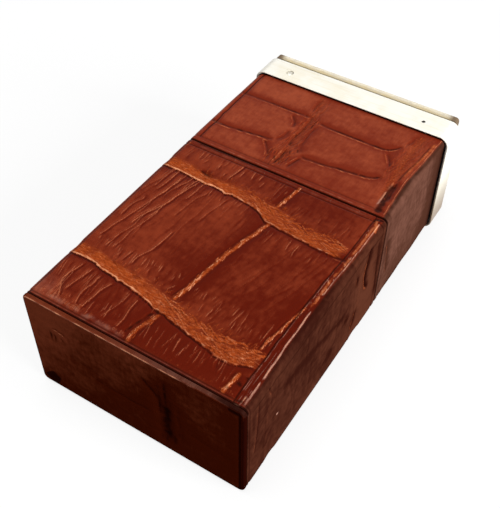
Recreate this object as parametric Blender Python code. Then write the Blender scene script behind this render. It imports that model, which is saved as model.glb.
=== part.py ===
"""Slip-lid pin box, lying on its broad lower face.

A short cup with a bone collar and a suede foot pad holds pins upright inside a thin wooden lip.
A tall lid slides over the lip along the box's long axis. Both halves are rabbeted boards under
one wrap of tiled hide, cut flat with its creases, folded round the boards and butted underneath.

Lengths are metres. X is the width, Y runs from the lid's closed end to the foot pad, Z is up.
Each half is modelled about the box's long axis, with y = 0 where lid and cup meet.
"""

import math

import bmesh
import bpy
from mathutils import Matrix, Vector

MM = 0.001

# The lid over its hide
LID_WIDTH = 50.0 * MM
LID_HEIGHT = 27.0 * MM
LID_LENGTH = 55.2 * MM

# Where lid and cup meet, and how much of the cup's hide shows
JOINT_GAP = 0.4 * MM
CUP_SHOWING = 29.9 * MM

# Layers, from the outside in
HIDE_THICKNESS = 0.9 * MM
HIDE_CORNER_RADIUS = 1.3 * MM
GLUE_LINE = 0.3 * MM
LID_BOARD = 1.8 * MM
LINING = 0.4 * MM
RUNNING_CLEARANCE = 0.3 * MM
LIP_BOARD = 1.0 * MM
CUP_BOARD = 2.5 * MM
END_BOARD = 2.0 * MM

# The lip stands out of the cup into the lid, with a slight lead-in at its tip
LIP_STAND = 22.0 * MM
LIP_LEAD_IN = 0.35 * MM

# Hide turned in over the boards at both mouths
TURN_IN = 0.7 * MM
TURN_IN_SETBACK = 0.1 * MM

# Relief of the hide: tiles stand up between creases, and a tooled line runs along each fold
TILE_RELIEF = 0.3 * MM
TILE_SLOPE = 0.55 * MM
TOOL_LINE_WIDTH = 0.5 * MM
TOOL_LINE_DEPTH = 0.3 * MM
TOOL_LINE_FROM_LEFT_FOLD = 1.4 * MM
TOOL_LINE_FROM_RIGHT_FOLD = 2.7 * MM
TOOL_LINE_FROM_END = 1.9 * MM
SEAM_GAP = 0.3 * MM
SKIVE_LENGTH = 1.6 * MM
SKIVE_DEPTH = 0.3 * MM
END_HIDE_EDGE_RADIUS = 0.45 * MM

# The collar round the foot of the cup
COLLAR_LENGTH = 7.1 * MM
COLLAR_PROUD_OF_LID = 0.65 * MM
COLLAR_CORNER_RADIUS = 2.4 * MM
COLLAR_EDGE_RADIUS = 0.35 * MM
COLLAR_REBATE_DEPTH = 1.2 * MM
COLLAR_REBATE_GAP = 0.3 * MM
INNER_CORNER_RADIUS = 0.3 * MM

# The pins that hold the collar, two above and two below
PIN_SHANK_RADIUS = 0.45 * MM
PIN_HEAD_RADIUS = 0.75 * MM
PIN_HEAD_THICKNESS = 0.5 * MM
PIN_HEAD_CROWN = 0.15 * MM
PIN_POINT = 0.5 * MM
PIN_HOLE_CLEARANCE = 0.1 * MM
PIN_FROM_COLLAR_SIDE = 7.8 * MM
PIN_FROM_COLLAR_RIM = 3.2 * MM
SUNK_PIN_DEPTH = 0.35 * MM

# The suede pad that the box stands on
FOOT_PAD = 1.6 * MM
FOOT_PAD_INSET_AT_SIDES = 1.2 * MM
FOOT_PAD_INSET_AT_FACES = 0.6 * MM
FOOT_PAD_CORNER_RADIUS = 0.7 * MM
FOOT_PAD_EDGE_RADIUS = 0.25 * MM

# The velvet pad on the cup's floor
FLOOR_PAD = 1.4 * MM
FLOOR_PAD_CORNER_RADIUS = 0.6 * MM
FLOOR_PAD_CROWN = 0.5 * MM

CUT_OVERRUN = 1.0 * MM
SAME_PLACE = 0.001 * MM
FOLD_STEPS = 4
CORNER_STEPS = 6
EDGE_STEPS = 3
PIN_STEPS = 16

# Sizes that follow from the layers
LID_WALL = HIDE_THICKNESS + GLUE_LINE + LID_BOARD + GLUE_LINE + LINING
LID_BORE_WIDTH = LID_WIDTH - 2 * LID_WALL
LID_BORE_HEIGHT = LID_HEIGHT - 2 * LID_WALL
LIP_WIDTH = LID_BORE_WIDTH - 2 * RUNNING_CLEARANCE
LIP_HEIGHT = LID_BORE_HEIGHT - 2 * RUNNING_CLEARANCE
CUP_WALL = GLUE_LINE + CUP_BOARD + GLUE_LINE + HIDE_THICKNESS
CUP_WIDTH = LIP_WIDTH + 2 * CUP_WALL
CUP_HEIGHT = LIP_HEIGHT + 2 * CUP_WALL
HIDE_AND_GLUE = HIDE_THICKNESS + GLUE_LINE
LID_BOARDS_WIDTH = LID_WIDTH - 2 * HIDE_AND_GLUE
LID_BOARDS_HEIGHT = LID_HEIGHT - 2 * HIDE_AND_GLUE
CUP_BOARDS_WIDTH = CUP_WIDTH - 2 * HIDE_AND_GLUE
CUP_BOARDS_HEIGHT = CUP_HEIGHT - 2 * HIDE_AND_GLUE
COLLAR_WIDTH = LID_WIDTH + 2 * COLLAR_PROUD_OF_LID
COLLAR_HEIGHT = LID_HEIGHT + 2 * COLLAR_PROUD_OF_LID
MOUTH_TO_BOARDS = TURN_IN_SETBACK + TURN_IN + GLUE_LINE
COLLAR_END = CUP_SHOWING + COLLAR_LENGTH
CUP_BOARDS_END = COLLAR_END - GLUE_LINE
CUP_FLOOR = CUP_BOARDS_END - END_BOARD
LID_BOARDS_END = HIDE_AND_GLUE - LID_LENGTH
LID_FLOOR = LID_BOARDS_END + END_BOARD
FOOT_END = COLLAR_END + GLUE_LINE + FOOT_PAD
BOX_LENGTH = LID_LENGTH + JOINT_GAP + FOOT_END
AXIS_HEIGHT = COLLAR_HEIGHT / 2
LID_MOUTH_Y = LID_LENGTH - BOX_LENGTH / 2
CUP_MOUTH_Y = LID_MOUTH_Y + JOINT_GAP

# Creases of the lid's wrap. Each line goes once round the box from the seam underneath, by way of
# the right, upper and left faces: (share of the way round, share of the length from the closed end).
LID_CREASE_SHARES = (
    ((0, 0), (.09, 0), (.245, 0), (.371, 0), (.514, 0), (.745, 0), (.91, 0), (1, 0)),
    ((0, .10), (.085, .11), (.25, .12), (.335, .135), (.37, .112), (.43, .131), (.504, .161),
     (.533, .178), (.599, .215), (.665, .237), (.75, .24), (.83, .235), (.915, .22), (1, .21)),
    ((0, .16), (.085, .17), (.25, .185), (.335, .20), (.368, .194), (.43, .20), (.467, .209), (.505, .22),
     (.533, .237), (.599, .265), (.665, .293), (.75, .30), (.83, .295), (.915, .285), (1, .27)),
    ((0, .76), (.085, .77), (.17, .77), (.25, .75), (.335, .727), (.352, .724), (.44, .728), (.467, .746),
     (.477, .735), (.493, .774), (.533, .793), (.599, .807), (.665, .807), (.75, .805), (.83, .79),
     (.915, .78), (1, .76)),
    ((0, .84), (.085, .85), (.17, .85), (.25, .83), (.335, .80), (.43, .811), (.48, .82), (.4965, .839),
     (.533, .857), (.599, .867), (.665, .876), (.75, .875), (.83, .865), (.915, .855), (1, .84)),
    ((0, 1), (.1, 1), (.25, 1), (.474, 1), (.74, 1), (.9, 1), (1, 1)),
)
# Cross creases: for each row between two lines, pairs of points that they join on the one and the other
LID_CROSS_CREASES = (
    ((0, 0), (1, 1), (2, 2), (3, 4), (4, 6), (5, 10), (6, 12), (7, 13)),
    ((0, 0), (13, 14)),
    ((0, 0), (1, 1), (2, 3), (4, 5), (7, 8), (11, 13), (13, 15), (14, 16)),
    ((0, 0), (16, 14)),
    ((0, 0), (1, 1), (3, 2), (6, 3), (11, 4), (13, 5), (14, 6)),
)
# Broad valleys, which stay down where tiles stand up: (row, place in its row)
LID_VALLEYS = ((1, 0), (3, 0))
# The cup's wrap, from its mouth to the collar
CUP_CREASE_SHARES = (
    ((0, 0), (.1, 0), (.25, 0), (.35, 0), (.391, 0), (.514, 0), (.561, 0), (.75, 0), (.9, 0), (1, 0)),
    ((0, .30), (.1, .30), (.17, .31), (.25, .30), (.35, .29), (.391, .31), (.514, .245), (.561, .31),
     (.654, .26), (.75, .28), (.83, .29), (.9, .30), (1, .30)),
    ((0, .66), (.1, .67), (.25, .68), (.35, .79), (.391, .675), (.514, .65), (.561, .69), (.654, .69),
     (.75, .67), (.83, .67), (.9, .66), (1, .66)),
    ((0, 1), (.1, 1), (.25, 1), (.35, 1), (.391, 1), (.514, 1), (.561, 1), (.75, 1), (.9, 1), (1, 1)),
)
CUP_CROSS_CREASES = (
    ((0, 0), (1, 1), (2, 3), (3, 4), (4, 5), (5, 6), (6, 7), (7, 9), (8, 11), (9, 12)),
    ((0, 0), (1, 1), (3, 2), (4, 3), (5, 4), (6, 5), (7, 6), (9, 8), (11, 10), (12, 11)),
    ((0, 0), (1, 1), (2, 2), (3, 3), (4, 4), (5, 5), (6, 6), (8, 7), (10, 8), (11, 9)),
)
CUP_VALLEYS = ((0, 3), (0, 5), (1, 3), (1, 5), (2, 3), (2, 5))
# The hide on the lid's closed end: across from the left, up from below
END_CREASE_SHARES = (
    ((0, 0), (.10, 0), (.69, 0), (1, 0)),
    ((0, .40), (.12, .38), (.40, .36), (.67, .35), (1, .33)),
    ((0, .72), (.11, .74), (.35, .76), (.56, .78), (1, .80)),
    ((0, 1), (.14, 1), (.53, 1), (1, 1)),
)
END_CROSS_CREASES = (
    ((0, 0), (1, 1), (2, 3), (3, 4)),
    ((0, 0), (1, 1), (3, 3), (4, 4)),
    ((0, 0), (1, 1), (3, 2), (4, 3)),
)
END_VALLEYS = ()


def finish_mesh(name, bm, material, parent):
    """Make an object of a bmesh, hung on its half of the box, smooth but for its real edges."""
    bmesh.ops.recalc_face_normals(bm, faces=bm.faces)
    mesh = bpy.data.meshes.new(name)
    bm.to_mesh(mesh)
    bm.free()
    mesh.shade_smooth()
    mesh.set_sharp_from_angle(angle=math.radians(35))
    mesh.materials.append(material)
    piece = bpy.data.objects.new(name, mesh)
    bpy.context.scene.collection.objects.link(piece)
    piece.parent = parent
    return piece


def hide_tool(piece):
    """Mark a cutter or guide, which isn't part of the box."""
    piece.hide_render = True
    piece.display_type = "WIRE"
    return piece


def combine(piece, other, operation):
    """Add a Boolean modifier that cuts piece by other, joins them or keeps what they share."""
    modifier = piece.modifiers.new(other.name, "BOOLEAN")
    modifier.operation = operation
    modifier.solver = "EXACT"
    modifier.object = hide_tool(other)


def make_material(name, colour, roughness, metallic=0.0):
    """A plain Principled finish."""
    material = bpy.data.materials.new(name)
    material.use_nodes = True
    shader = material.node_tree.nodes["Principled BSDF"]
    shader.inputs["Base Color"].default_value = (*colour, 1.0)
    shader.inputs["Roughness"].default_value = roughness
    shader.inputs["Metallic"].default_value = metallic
    material.diffuse_color = (*colour, 1.0)
    return material


def assembly(name, y):
    """An empty on the box's long axis, which one half of the box hangs on."""
    empty = bpy.data.objects.new(name, None)
    bpy.context.scene.collection.objects.link(empty)
    empty.location = (0, y, AXIS_HEIGHT)
    return empty


def extrude_outline(bm, outline, start, end):
    """A prism along Y, from an outline of (x, z) points."""
    face = bm.faces.new([bm.verts.new((x, start, z)) for x, z in outline])
    made = bmesh.ops.extrude_face_region(bm, geom=[face])["geom"]
    moved = [part for part in made if isinstance(part, bmesh.types.BMVert)]
    bmesh.ops.translate(bm, verts=moved, vec=(0, end - start, 0))


def rounded_loop(width, height, radius, steps):
    """Points of a rectangle with round corners about the axis, anticlockwise seen from the lid's end."""
    points = []
    for corner, (side_x, side_z) in enumerate(((1, -1), (1, 1), (-1, 1), (-1, -1))):
        centre_x = side_x * (width / 2 - radius)
        centre_z = side_z * (height / 2 - radius)
        for step in range(steps + 1):
            angle = math.radians(90) * (corner - 1 + step / steps)
            points.append((centre_x + radius * math.cos(angle), centre_z + radius * math.sin(angle)))
    return points


def loft(bm, sections, steps, closed):
    """Skin rounded rectangles (width, height, radius, y) one to the next: round again into a ring if
    closed, and otherwise with a cap at each end."""
    rings = []
    for width, height, radius, y in sections:
        rings.append([bm.verts.new((x, y, z)) for x, z in rounded_loop(width, height, radius, steps)])
    count = len(rings[0])
    pairs = list(zip(rings, rings[1:] + rings[:1])) if closed else list(zip(rings, rings[1:]))
    for ring, following in pairs:
        for i in range(count):
            j = (i + 1) % count
            bm.faces.new((ring[i], ring[j], following[j], following[i]))
    if not closed:
        bm.faces.new(rings[0])
        bm.faces.new(rings[-1])


def rounded_edge(width, height, corner, radius, y, direction):
    """Sections that round the edge of a lofted plate, from its flat face at y out to its full outline."""
    sections = []
    for step in range(EDGE_STEPS + 1):
        angle = math.radians(90) * step / EDGE_STEPS
        inset = radius * (1 - math.sin(angle))
        depth = radius * (1 - math.cos(angle))
        sections.append((width - 2 * inset, height - 2 * inset, corner - inset, y + direction * depth))
    return sections


class Fold:
    """The outer outline that a wrap is folded to, measured round from the seam underneath."""

    def __init__(self, width, height):
        self.radius = HIDE_CORNER_RADIUS
        self.across = width - 2 * self.radius
        self.up = height - 2 * self.radius
        self.arc = math.radians(90) * self.radius
        self.girth = 2 * self.across + 2 * self.up + 4 * self.arc
        self.half_width = width / 2
        self.half_height = height / 2
        runs = (self.across / 2, self.up, self.across, self.up)
        self.arc_starts = []
        reached = 0.0
        for run in runs:
            reached += run
            self.arc_starts.append(reached)
            reached += self.arc

    def bend_lines(self):
        """Places round the outline where the sheet has to bend."""
        return [start + self.arc * step / FOLD_STEPS for start in self.arc_starts for step in range(FOLD_STEPS + 1)]

    def tool_lines(self):
        """A line each side of every fold: nearer on the left-hand side of the box than on the right."""
        lines = []
        for corner, start in enumerate(self.arc_starts):
            middle = start + self.arc / 2
            offset = TOOL_LINE_FROM_RIGHT_FOLD if corner < 2 else TOOL_LINE_FROM_LEFT_FOLD
            lines += [middle - offset, middle + offset]
        return lines

    def place(self, along, y, depth):
        """A point of the folded sheet: along the girth, at y, and depth under the outer face."""
        inner_x = self.across / 2
        inner_z = self.up / 2
        corners = ((inner_x, -inner_z), (inner_x, inner_z), (-inner_x, inner_z), (-inner_x, -inner_z))
        if along < self.arc_starts[0]:
            return Vector((along, y, depth - self.half_height))
        for corner, start in enumerate(self.arc_starts):
            centre_x, centre_z = corners[corner]
            if along <= start + self.arc:
                angle = math.radians(90) * (corner - 1) + (along - start) / self.radius
                reach = self.radius - depth
                return Vector((centre_x + reach * math.cos(angle), y, centre_z + reach * math.sin(angle)))
            run = along - start - self.arc
            if corner < 3 and along < self.arc_starts[corner + 1]:
                return (
                    Vector((self.half_width - depth, y, run - inner_z)),
                    Vector((inner_x - run, y, self.half_height - depth)),
                    Vector((depth - self.half_width, y, inner_z - run)),
                )[corner]
        return Vector((run - inner_x, y, depth - self.half_height))


def tiled_sheet(crease_shares, cross_creases, valleys, size_along, size_across):
    """A flat sheet of hide in its own plane, tiles up. Its creases are the edges between the tiles, whose
    middles are then inset and raised, so that each crease becomes a soft valley."""
    bm = bmesh.new()
    floor = HIDE_THICKNESS - TILE_RELIEF
    lines = [
        [bm.verts.new((along * size_along, across * size_across, floor)) for along, across in line]
        for line in crease_shares
    ]
    sheet, tiles = [], []
    for row, cuts in enumerate(cross_creases):
        before, after = lines[row], lines[row + 1]
        for place, ((a, c), (b, d)) in enumerate(zip(cuts, cuts[1:])):
            face = bm.faces.new(before[a : b + 1] + after[c : d + 1][::-1])
            sheet.append(face)
            if (row, place) not in valleys:
                tiles.append(face)
    made = bmesh.ops.extrude_face_region(bm, geom=sheet, use_keep_orig=True)["geom"]
    back = [part for part in made if isinstance(part, bmesh.types.BMVert)]
    bmesh.ops.translate(bm, verts=back, vec=(0, 0, -floor))
    bmesh.ops.recalc_face_normals(bm, faces=bm.faces)
    bmesh.ops.inset_individual(bm, faces=tiles, thickness=TILE_SLOPE, depth=TILE_RELIEF, use_even_offset=True)
    return bm


def slice_sheet(bm, axis, place):
    """Cut every face of a flat sheet along one straight line, keeping both sides."""
    normal = Vector((axis == 0, axis == 1, 0))
    everything = bm.verts[:] + bm.edges[:] + bm.faces[:]
    bmesh.ops.bisect_plane(bm, geom=everything, dist=SAME_PLACE, plane_co=normal * place, plane_no=normal)


def press_line(bm, axis, place):
    """Press one tooled line into the face of a flat sheet."""
    for offset in (-TOOL_LINE_WIDTH / 2, 0, TOOL_LINE_WIDTH / 2):
        slice_sheet(bm, axis, place + offset)
    for vert in bm.verts:
        if abs(vert.co[axis] - place) < SAME_PLACE and vert.co.z > 0:
            vert.co.z = min(vert.co.z, HIDE_THICKNESS - TOOL_LINE_DEPTH)


def wrap(name, creases, fold, length, mouth_at_end, skived, material, parent):
    """One piece of hide round the four long faces, with its mouth turned in over the boards. The sheet runs
    from y = 0 away from the mouth if the mouth is at its start, and up to y = 0 otherwise."""
    bm = tiled_sheet(*creases, fold.girth - SEAM_GAP, length)
    bmesh.ops.translate(bm, verts=bm.verts, vec=(SEAM_GAP / 2, 0, 0))
    for place in fold.tool_lines():
        press_line(bm, 0, place)
    for place in (TOOL_LINE_FROM_END, length - TOOL_LINE_FROM_END):
        press_line(bm, 1, place)
    if skived:
        slice_sheet(bm, 1, length - SKIVE_LENGTH)
        for vert in bm.verts:
            if length - vert.co.y < SAME_PLACE and vert.co.z > 0:
                vert.co.z -= SKIVE_DEPTH
    for place in fold.bend_lines():
        slice_sheet(bm, 0, place)
    start = -length if mouth_at_end else 0
    for vert in bm.verts:
        vert.co = fold.place(vert.co.x, start + vert.co.y, HIDE_THICKNESS - vert.co.z)
    piece = finish_mesh(name, bm, material, parent)
    inward = -1 if mouth_at_end else 1
    near = inward * TURN_IN_SETBACK
    far = inward * (TURN_IN_SETBACK + TURN_IN)
    outer = (2 * (fold.half_width - HIDE_THICKNESS / 2), 2 * (fold.half_height - HIDE_THICKNESS / 2))
    corner = HIDE_CORNER_RADIUS - HIDE_THICKNESS / 2
    ring = bmesh.new()
    loft(
        ring,
        (
            (*outer, corner, near),
            (*outer, corner, far),
            (LID_BORE_WIDTH, LID_BORE_HEIGHT, INNER_CORNER_RADIUS, far),
            (LID_BORE_WIDTH, LID_BORE_HEIGHT, INNER_CORNER_RADIUS, near),
        ),
        CORNER_STEPS,
        closed=True,
    )
    combine(piece, finish_mesh(name + "_turn_in", ring, material, parent), "UNION")
    return piece


def end_hide(material, parent):
    """The panel of hide on the lid's closed end, cut to the lid's outline with a round edge."""
    bm = tiled_sheet(END_CREASE_SHARES, END_CROSS_CREASES, END_VALLEYS, LID_WIDTH, LID_HEIGHT)
    bmesh.ops.translate(bm, verts=bm.verts, vec=(-LID_WIDTH / 2, -LID_HEIGHT / 2, 0))
    bmesh.ops.rotate(bm, verts=bm.verts, matrix=Matrix.Rotation(math.radians(90), 3, "X"))
    bmesh.ops.translate(bm, verts=bm.verts, vec=(0, HIDE_THICKNESS - LID_LENGTH, 0))
    piece = finish_mesh("lid_hide_end", bm, material, parent)
    outline = bmesh.new()
    front = rounded_edge(
        LID_WIDTH, LID_HEIGHT, HIDE_CORNER_RADIUS, END_HIDE_EDGE_RADIUS, -LID_LENGTH, 1
    )
    back = (LID_WIDTH, LID_HEIGHT, HIDE_CORNER_RADIUS, HIDE_THICKNESS - LID_LENGTH + CUT_OVERRUN)
    loft(outline, (*front, back), CORNER_STEPS, closed=False)
    combine(piece, finish_mesh("lid_hide_end_outline", outline, material, parent), "INTERSECT")
    return piece


def rabbeted_outline(width, height, thickness, upward):
    """Upper or lower board in section: its outer half runs full width over the side boards."""
    edge = height / 2
    step = edge - thickness / 2
    inner = edge - thickness
    half = width / 2
    between = half - thickness - GLUE_LINE
    points = ((-half, edge), (-half, step), (-between, step), (-between, inner),
              (between, inner), (between, step), (half, step), (half, edge))
    return [(x, z * upward) for x, z in points]


def carcass(prefix, width, height, thickness, mouth, closed, material, parent):
    """Four rabbeted boards from a mouth to a closed end, and the stepped board that plugs that end."""
    inward = 1 if mouth > closed else -1
    boards_end = closed + inward * (END_BOARD / 2 + GLUE_LINE)
    boards = {}
    for side, upward in (("upper", 1), ("lower", -1)):
        bm = bmesh.new()
        extrude_outline(bm, rabbeted_outline(width, height, thickness, upward), mouth, boards_end)
        boards[side] = finish_mesh(f"{prefix}_board_{side}", bm, material, parent)
    reach = height / 2 - thickness / 2 - GLUE_LINE
    for side, way in (("right", 1), ("left", -1)):
        outer = way * width / 2
        inner = outer - way * thickness
        bm = bmesh.new()
        extrude_outline(bm, ((outer, -reach), (outer, reach), (inner, reach), (inner, -reach)), mouth, boards_end)
        boards[side] = finish_mesh(f"{prefix}_board_{side}", bm, material, parent)
    plug_width = width - 2 * (thickness + GLUE_LINE)
    plug_height = height - 2 * (thickness + GLUE_LINE)
    shoulder = closed + inward * END_BOARD / 2
    bm = bmesh.new()
    loft(
        bm,
        (
            (width, height, GLUE_LINE, closed),
            (width, height, GLUE_LINE, shoulder),
            (plug_width, plug_height, GLUE_LINE, shoulder),
            (plug_width, plug_height, GLUE_LINE, closed + inward * END_BOARD),
        ),
        1,
        closed=False,
    )
    boards["end"] = finish_mesh(f"{prefix}_board_end", bm, material, parent)
    return boards


def mitred_walls(prefix, width, height, thickness, start, end, lead_in, material, parent):
    """Four thin sheets inside a rectangle, mitred at its corners with a glue line in each mitre."""
    mitre = GLUE_LINE / math.sqrt(2)
    for side, turns in (("upper", 0), ("right", 1), ("lower", 2), ("left", 3)):
        run, rise = (width, height) if turns % 2 == 0 else (height, width)
        bm = bmesh.new()
        sections = ((start, thickness - lead_in), (start + lead_in, thickness), (end, thickness))
        rings = []
        for y, depth in sections if lead_in else sections[1:]:
            top = rise / 2 - (thickness - depth)
            low = rise / 2 - thickness
            half_top = run / 2 - (thickness - depth) - mitre
            half_low = run / 2 - thickness - mitre
            outline = ((-half_top, top), (half_top, top), (half_low, low), (-half_low, low))
            rings.append([bm.verts.new((x, y, z)) for x, z in outline])
        for ring, following in zip(rings, rings[1:]):
            for i in range(4):
                j = (i + 1) % 4
                bm.faces.new((ring[i], ring[j], following[j], following[i]))
        bm.faces.new(rings[0])
        bm.faces.new(rings[-1])
        turn = Matrix.Rotation(math.radians(90) * turns, 3, "Y")
        bmesh.ops.rotate(bm, verts=bm.verts, matrix=turn)
        finish_mesh(f"{prefix}_{side}", bm, material, parent)


def collar_ring(material, parent):
    """The bone collar: a bore over the boards, and a rebate under a rounded rim that hides the hide's end."""
    near = CUP_SHOWING
    bore = (CUP_BOARDS_WIDTH + 2 * GLUE_LINE, CUP_BOARDS_HEIGHT + 2 * GLUE_LINE, INNER_CORNER_RADIUS)
    rebate_width = CUP_WIDTH + 2 * COLLAR_REBATE_GAP
    rebate_height = CUP_HEIGHT + 2 * COLLAR_REBATE_GAP
    rim = (COLLAR_WIDTH - rebate_width) / 2
    rebate = (rebate_width, rebate_height, COLLAR_CORNER_RADIUS - rim)
    rebate_floor = near + COLLAR_REBATE_DEPTH
    front = rounded_edge(COLLAR_WIDTH, COLLAR_HEIGHT, COLLAR_CORNER_RADIUS, rim / 2, near, 1)
    back = rounded_edge(COLLAR_WIDTH, COLLAR_HEIGHT, COLLAR_CORNER_RADIUS, COLLAR_EDGE_RADIUS, COLLAR_END, -1)
    inside = ((*bore, COLLAR_END), (*bore, rebate_floor), (*rebate, rebate_floor), (*rebate, near + rim / 2))
    bm = bmesh.new()
    loft(bm, (*front, *reversed(back), *inside), CORNER_STEPS, closed=True)
    return finish_mesh("collar", bm, material, parent)


def turned(bm, profile, steps):
    """A solid turned about Z from a profile of (radius, z), which starts and ends on the axis."""
    rings = [
        [bm.verts.new((r * math.cos(a), r * math.sin(a), z)) for a in (math.tau * i / steps for i in range(steps))]
        for r, z in profile[1:-1]
    ]
    for ring, following in zip(rings, rings[1:]):
        for i in range(steps):
            j = (i + 1) % steps
            bm.faces.new((ring[i], ring[j], following[j], following[i]))
    for ring, (_, z) in ((rings[0], profile[0]), (rings[-1], profile[-1])):
        tip = bm.verts.new((0, 0, z))
        for i in range(steps):
            bm.faces.new((ring[i], ring[(i + 1) % steps], tip))


def collar_pin(name, x, upward, sunk, collar, board, material, parent):
    """A headed pin through the collar into a board, in holes that it fits closely. Its low crown comes level
    with the collar, or lies sunk under it."""
    crown = COLLAR_HEIGHT / 2 - sunk
    head_edge = crown - PIN_HEAD_CROWN
    seat = crown - PIN_HEAD_THICKNESS
    tip = CUP_BOARDS_HEIGHT / 2 - CUP_BOARD + GLUE_LINE
    half_way = math.radians(45)
    profile = (
        (0, crown),
        (PIN_HEAD_RADIUS * math.sin(half_way), head_edge + PIN_HEAD_CROWN * math.cos(half_way)),
        (PIN_HEAD_RADIUS, head_edge),
        (PIN_HEAD_RADIUS, seat + PIN_HOLE_CLEARANCE),
        (PIN_SHANK_RADIUS, seat + PIN_HOLE_CLEARANCE),
        (PIN_SHANK_RADIUS, tip + PIN_POINT),
        (PIN_SHANK_RADIUS / 2, tip),
        (0, tip),
    )
    head_hole = PIN_HEAD_RADIUS + PIN_HOLE_CLEARANCE
    shank_hole = PIN_SHANK_RADIUS + PIN_HOLE_CLEARANCE
    above = COLLAR_HEIGHT / 2 + CUT_OVERRUN
    below = tip - GLUE_LINE - CUT_OVERRUN
    hole = ((0, above), (head_hole, above), (head_hole, seat), (shank_hole, seat), (shank_hole, below), (0, below))
    pieces = []
    for label, points in ((name, profile), (name + "_hole", hole)):
        bm = bmesh.new()
        turned(bm, points, PIN_STEPS)
        piece = finish_mesh(label, bm, material, parent)
        piece.location = (x, CUP_SHOWING + PIN_FROM_COLLAR_RIM, 0)
        if upward < 0:
            piece.rotation_euler = (math.radians(180), 0, 0)
        pieces.append(piece)
    combine(collar, pieces[1], "DIFFERENCE")
    combine(board, pieces[1], "DIFFERENCE")


def plate(name, width, height, corner, start, end, edge, material, parent):
    """A flat pad with round corners and one rounded face, at its end."""
    direction = 1 if end > start else -1
    bm = bmesh.new()
    rounding = rounded_edge(width, height, corner, edge, end, -direction)
    loft(bm, ((width, height, corner, start), *reversed(rounding)), CORNER_STEPS, closed=False)
    return finish_mesh(name, bm, material, parent)


def build_lid(materials):
    """The tall half, which slides off along the box's axis."""
    lid = assembly("lid", LID_MOUTH_Y)
    fold = Fold(LID_WIDTH, LID_HEIGHT)
    wrap_length = LID_LENGTH - HIDE_THICKNESS - GLUE_LINE
    creases = (LID_CREASE_SHARES, LID_CROSS_CREASES, LID_VALLEYS)
    wrap("lid_hide_wrap", creases, fold, wrap_length, True, False, materials["hide"], lid)
    end_hide(materials["hide"], lid)
    carcass("lid", LID_BOARDS_WIDTH, LID_BOARDS_HEIGHT, LID_BOARD, -MOUTH_TO_BOARDS, LID_BOARDS_END,
            materials["cedar"], lid)
    lining_width = LID_BORE_WIDTH + 2 * LINING
    lining_height = LID_BORE_HEIGHT + 2 * LINING
    lining_end = LID_FLOOR + GLUE_LINE
    mitred_walls("lid_lining", lining_width, lining_height, LINING, lining_end, -MOUTH_TO_BOARDS, 0,
                 materials["paper"], lid)
    bm = bmesh.new()
    half_width = LID_BORE_WIDTH / 2 - GLUE_LINE
    half_height = LID_BORE_HEIGHT / 2 - GLUE_LINE
    outline = ((-half_width, -half_height), (half_width, -half_height),
               (half_width, half_height), (-half_width, half_height))
    extrude_outline(bm, outline, lining_end, lining_end + LINING)
    finish_mesh("lid_lining_end", bm, materials["paper"], lid)


def build_cup(materials):
    """The short half: boards, hide, lip, collar, pins and pads."""
    cup = assembly("cup", CUP_MOUTH_Y)
    fold = Fold(CUP_WIDTH, CUP_HEIGHT)
    wrap_length = CUP_SHOWING + COLLAR_REBATE_DEPTH - GLUE_LINE
    creases = (CUP_CREASE_SHARES, CUP_CROSS_CREASES, CUP_VALLEYS)
    wrap("cup_hide_wrap", creases, fold, wrap_length, False, True, materials["hide"], cup)
    boards = carcass("cup", CUP_BOARDS_WIDTH, CUP_BOARDS_HEIGHT, CUP_BOARD, MOUTH_TO_BOARDS, CUP_BOARDS_END,
                     materials["cedar"], cup)
    lip_start = -JOINT_GAP - LIP_STAND
    lip_end = CUP_FLOOR - GLUE_LINE
    mitred_walls("lip", LIP_WIDTH, LIP_HEIGHT, LIP_BOARD, lip_start, lip_end, LIP_LEAD_IN, materials["lip"], cup)
    floor_width = LIP_WIDTH - 2 * (LIP_BOARD + GLUE_LINE)
    floor_height = LIP_HEIGHT - 2 * (LIP_BOARD + GLUE_LINE)
    plate("floor_pad", floor_width, floor_height, FLOOR_PAD_CORNER_RADIUS, lip_end, lip_end - FLOOR_PAD,
          FLOOR_PAD_CROWN, materials["velvet"], cup)
    collar = collar_ring(materials["bone"], cup)
    for row, upward in (("upper", 1), ("lower", -1)):
        for side, way in (("left", -1), ("right", 1)):
            sunk = SUNK_PIN_DEPTH if (row, side) == ("upper", "right") else 0
            x = way * (COLLAR_WIDTH / 2 - PIN_FROM_COLLAR_SIDE)
            collar_pin(f"collar_pin_{row}_{side}", x, upward, sunk, collar, boards[row], materials["pin"], cup)
    foot_width = COLLAR_WIDTH - 2 * FOOT_PAD_INSET_AT_SIDES
    foot_height = COLLAR_HEIGHT - 2 * FOOT_PAD_INSET_AT_FACES
    plate("foot_pad", foot_width, foot_height, FOOT_PAD_CORNER_RADIUS, COLLAR_END + GLUE_LINE, FOOT_END,
          FOOT_PAD_EDGE_RADIUS, materials["suede"], cup)


def main():
    for piece in list(bpy.data.objects):
        bpy.data.objects.remove(piece)
    materials = {
        "hide": make_material("glazed_tan_hide", (0.23, 0.055, 0.02), 0.35),
        "cedar": make_material("cedar_board", (0.36, 0.16, 0.07), 0.6),
        "lip": make_material("waxed_cedar_lip", (0.40, 0.19, 0.08), 0.45),
        "paper": make_material("marbled_lining_paper", (0.30, 0.06, 0.045), 0.7),
        "velvet": make_material("wine_velvet", (0.16, 0.015, 0.02), 0.9),
        "bone": make_material("polished_bone", (0.86, 0.80, 0.64), 0.25),
        "pin": make_material("nickel_silver_pin", (0.66, 0.65, 0.61), 0.3, 1.0),
        "suede": make_material("buff_suede", (0.62, 0.50, 0.33), 0.95),
    }
    build_lid(materials)
    build_cup(materials)
    bpy.context.view_layer.update()


main()
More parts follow.
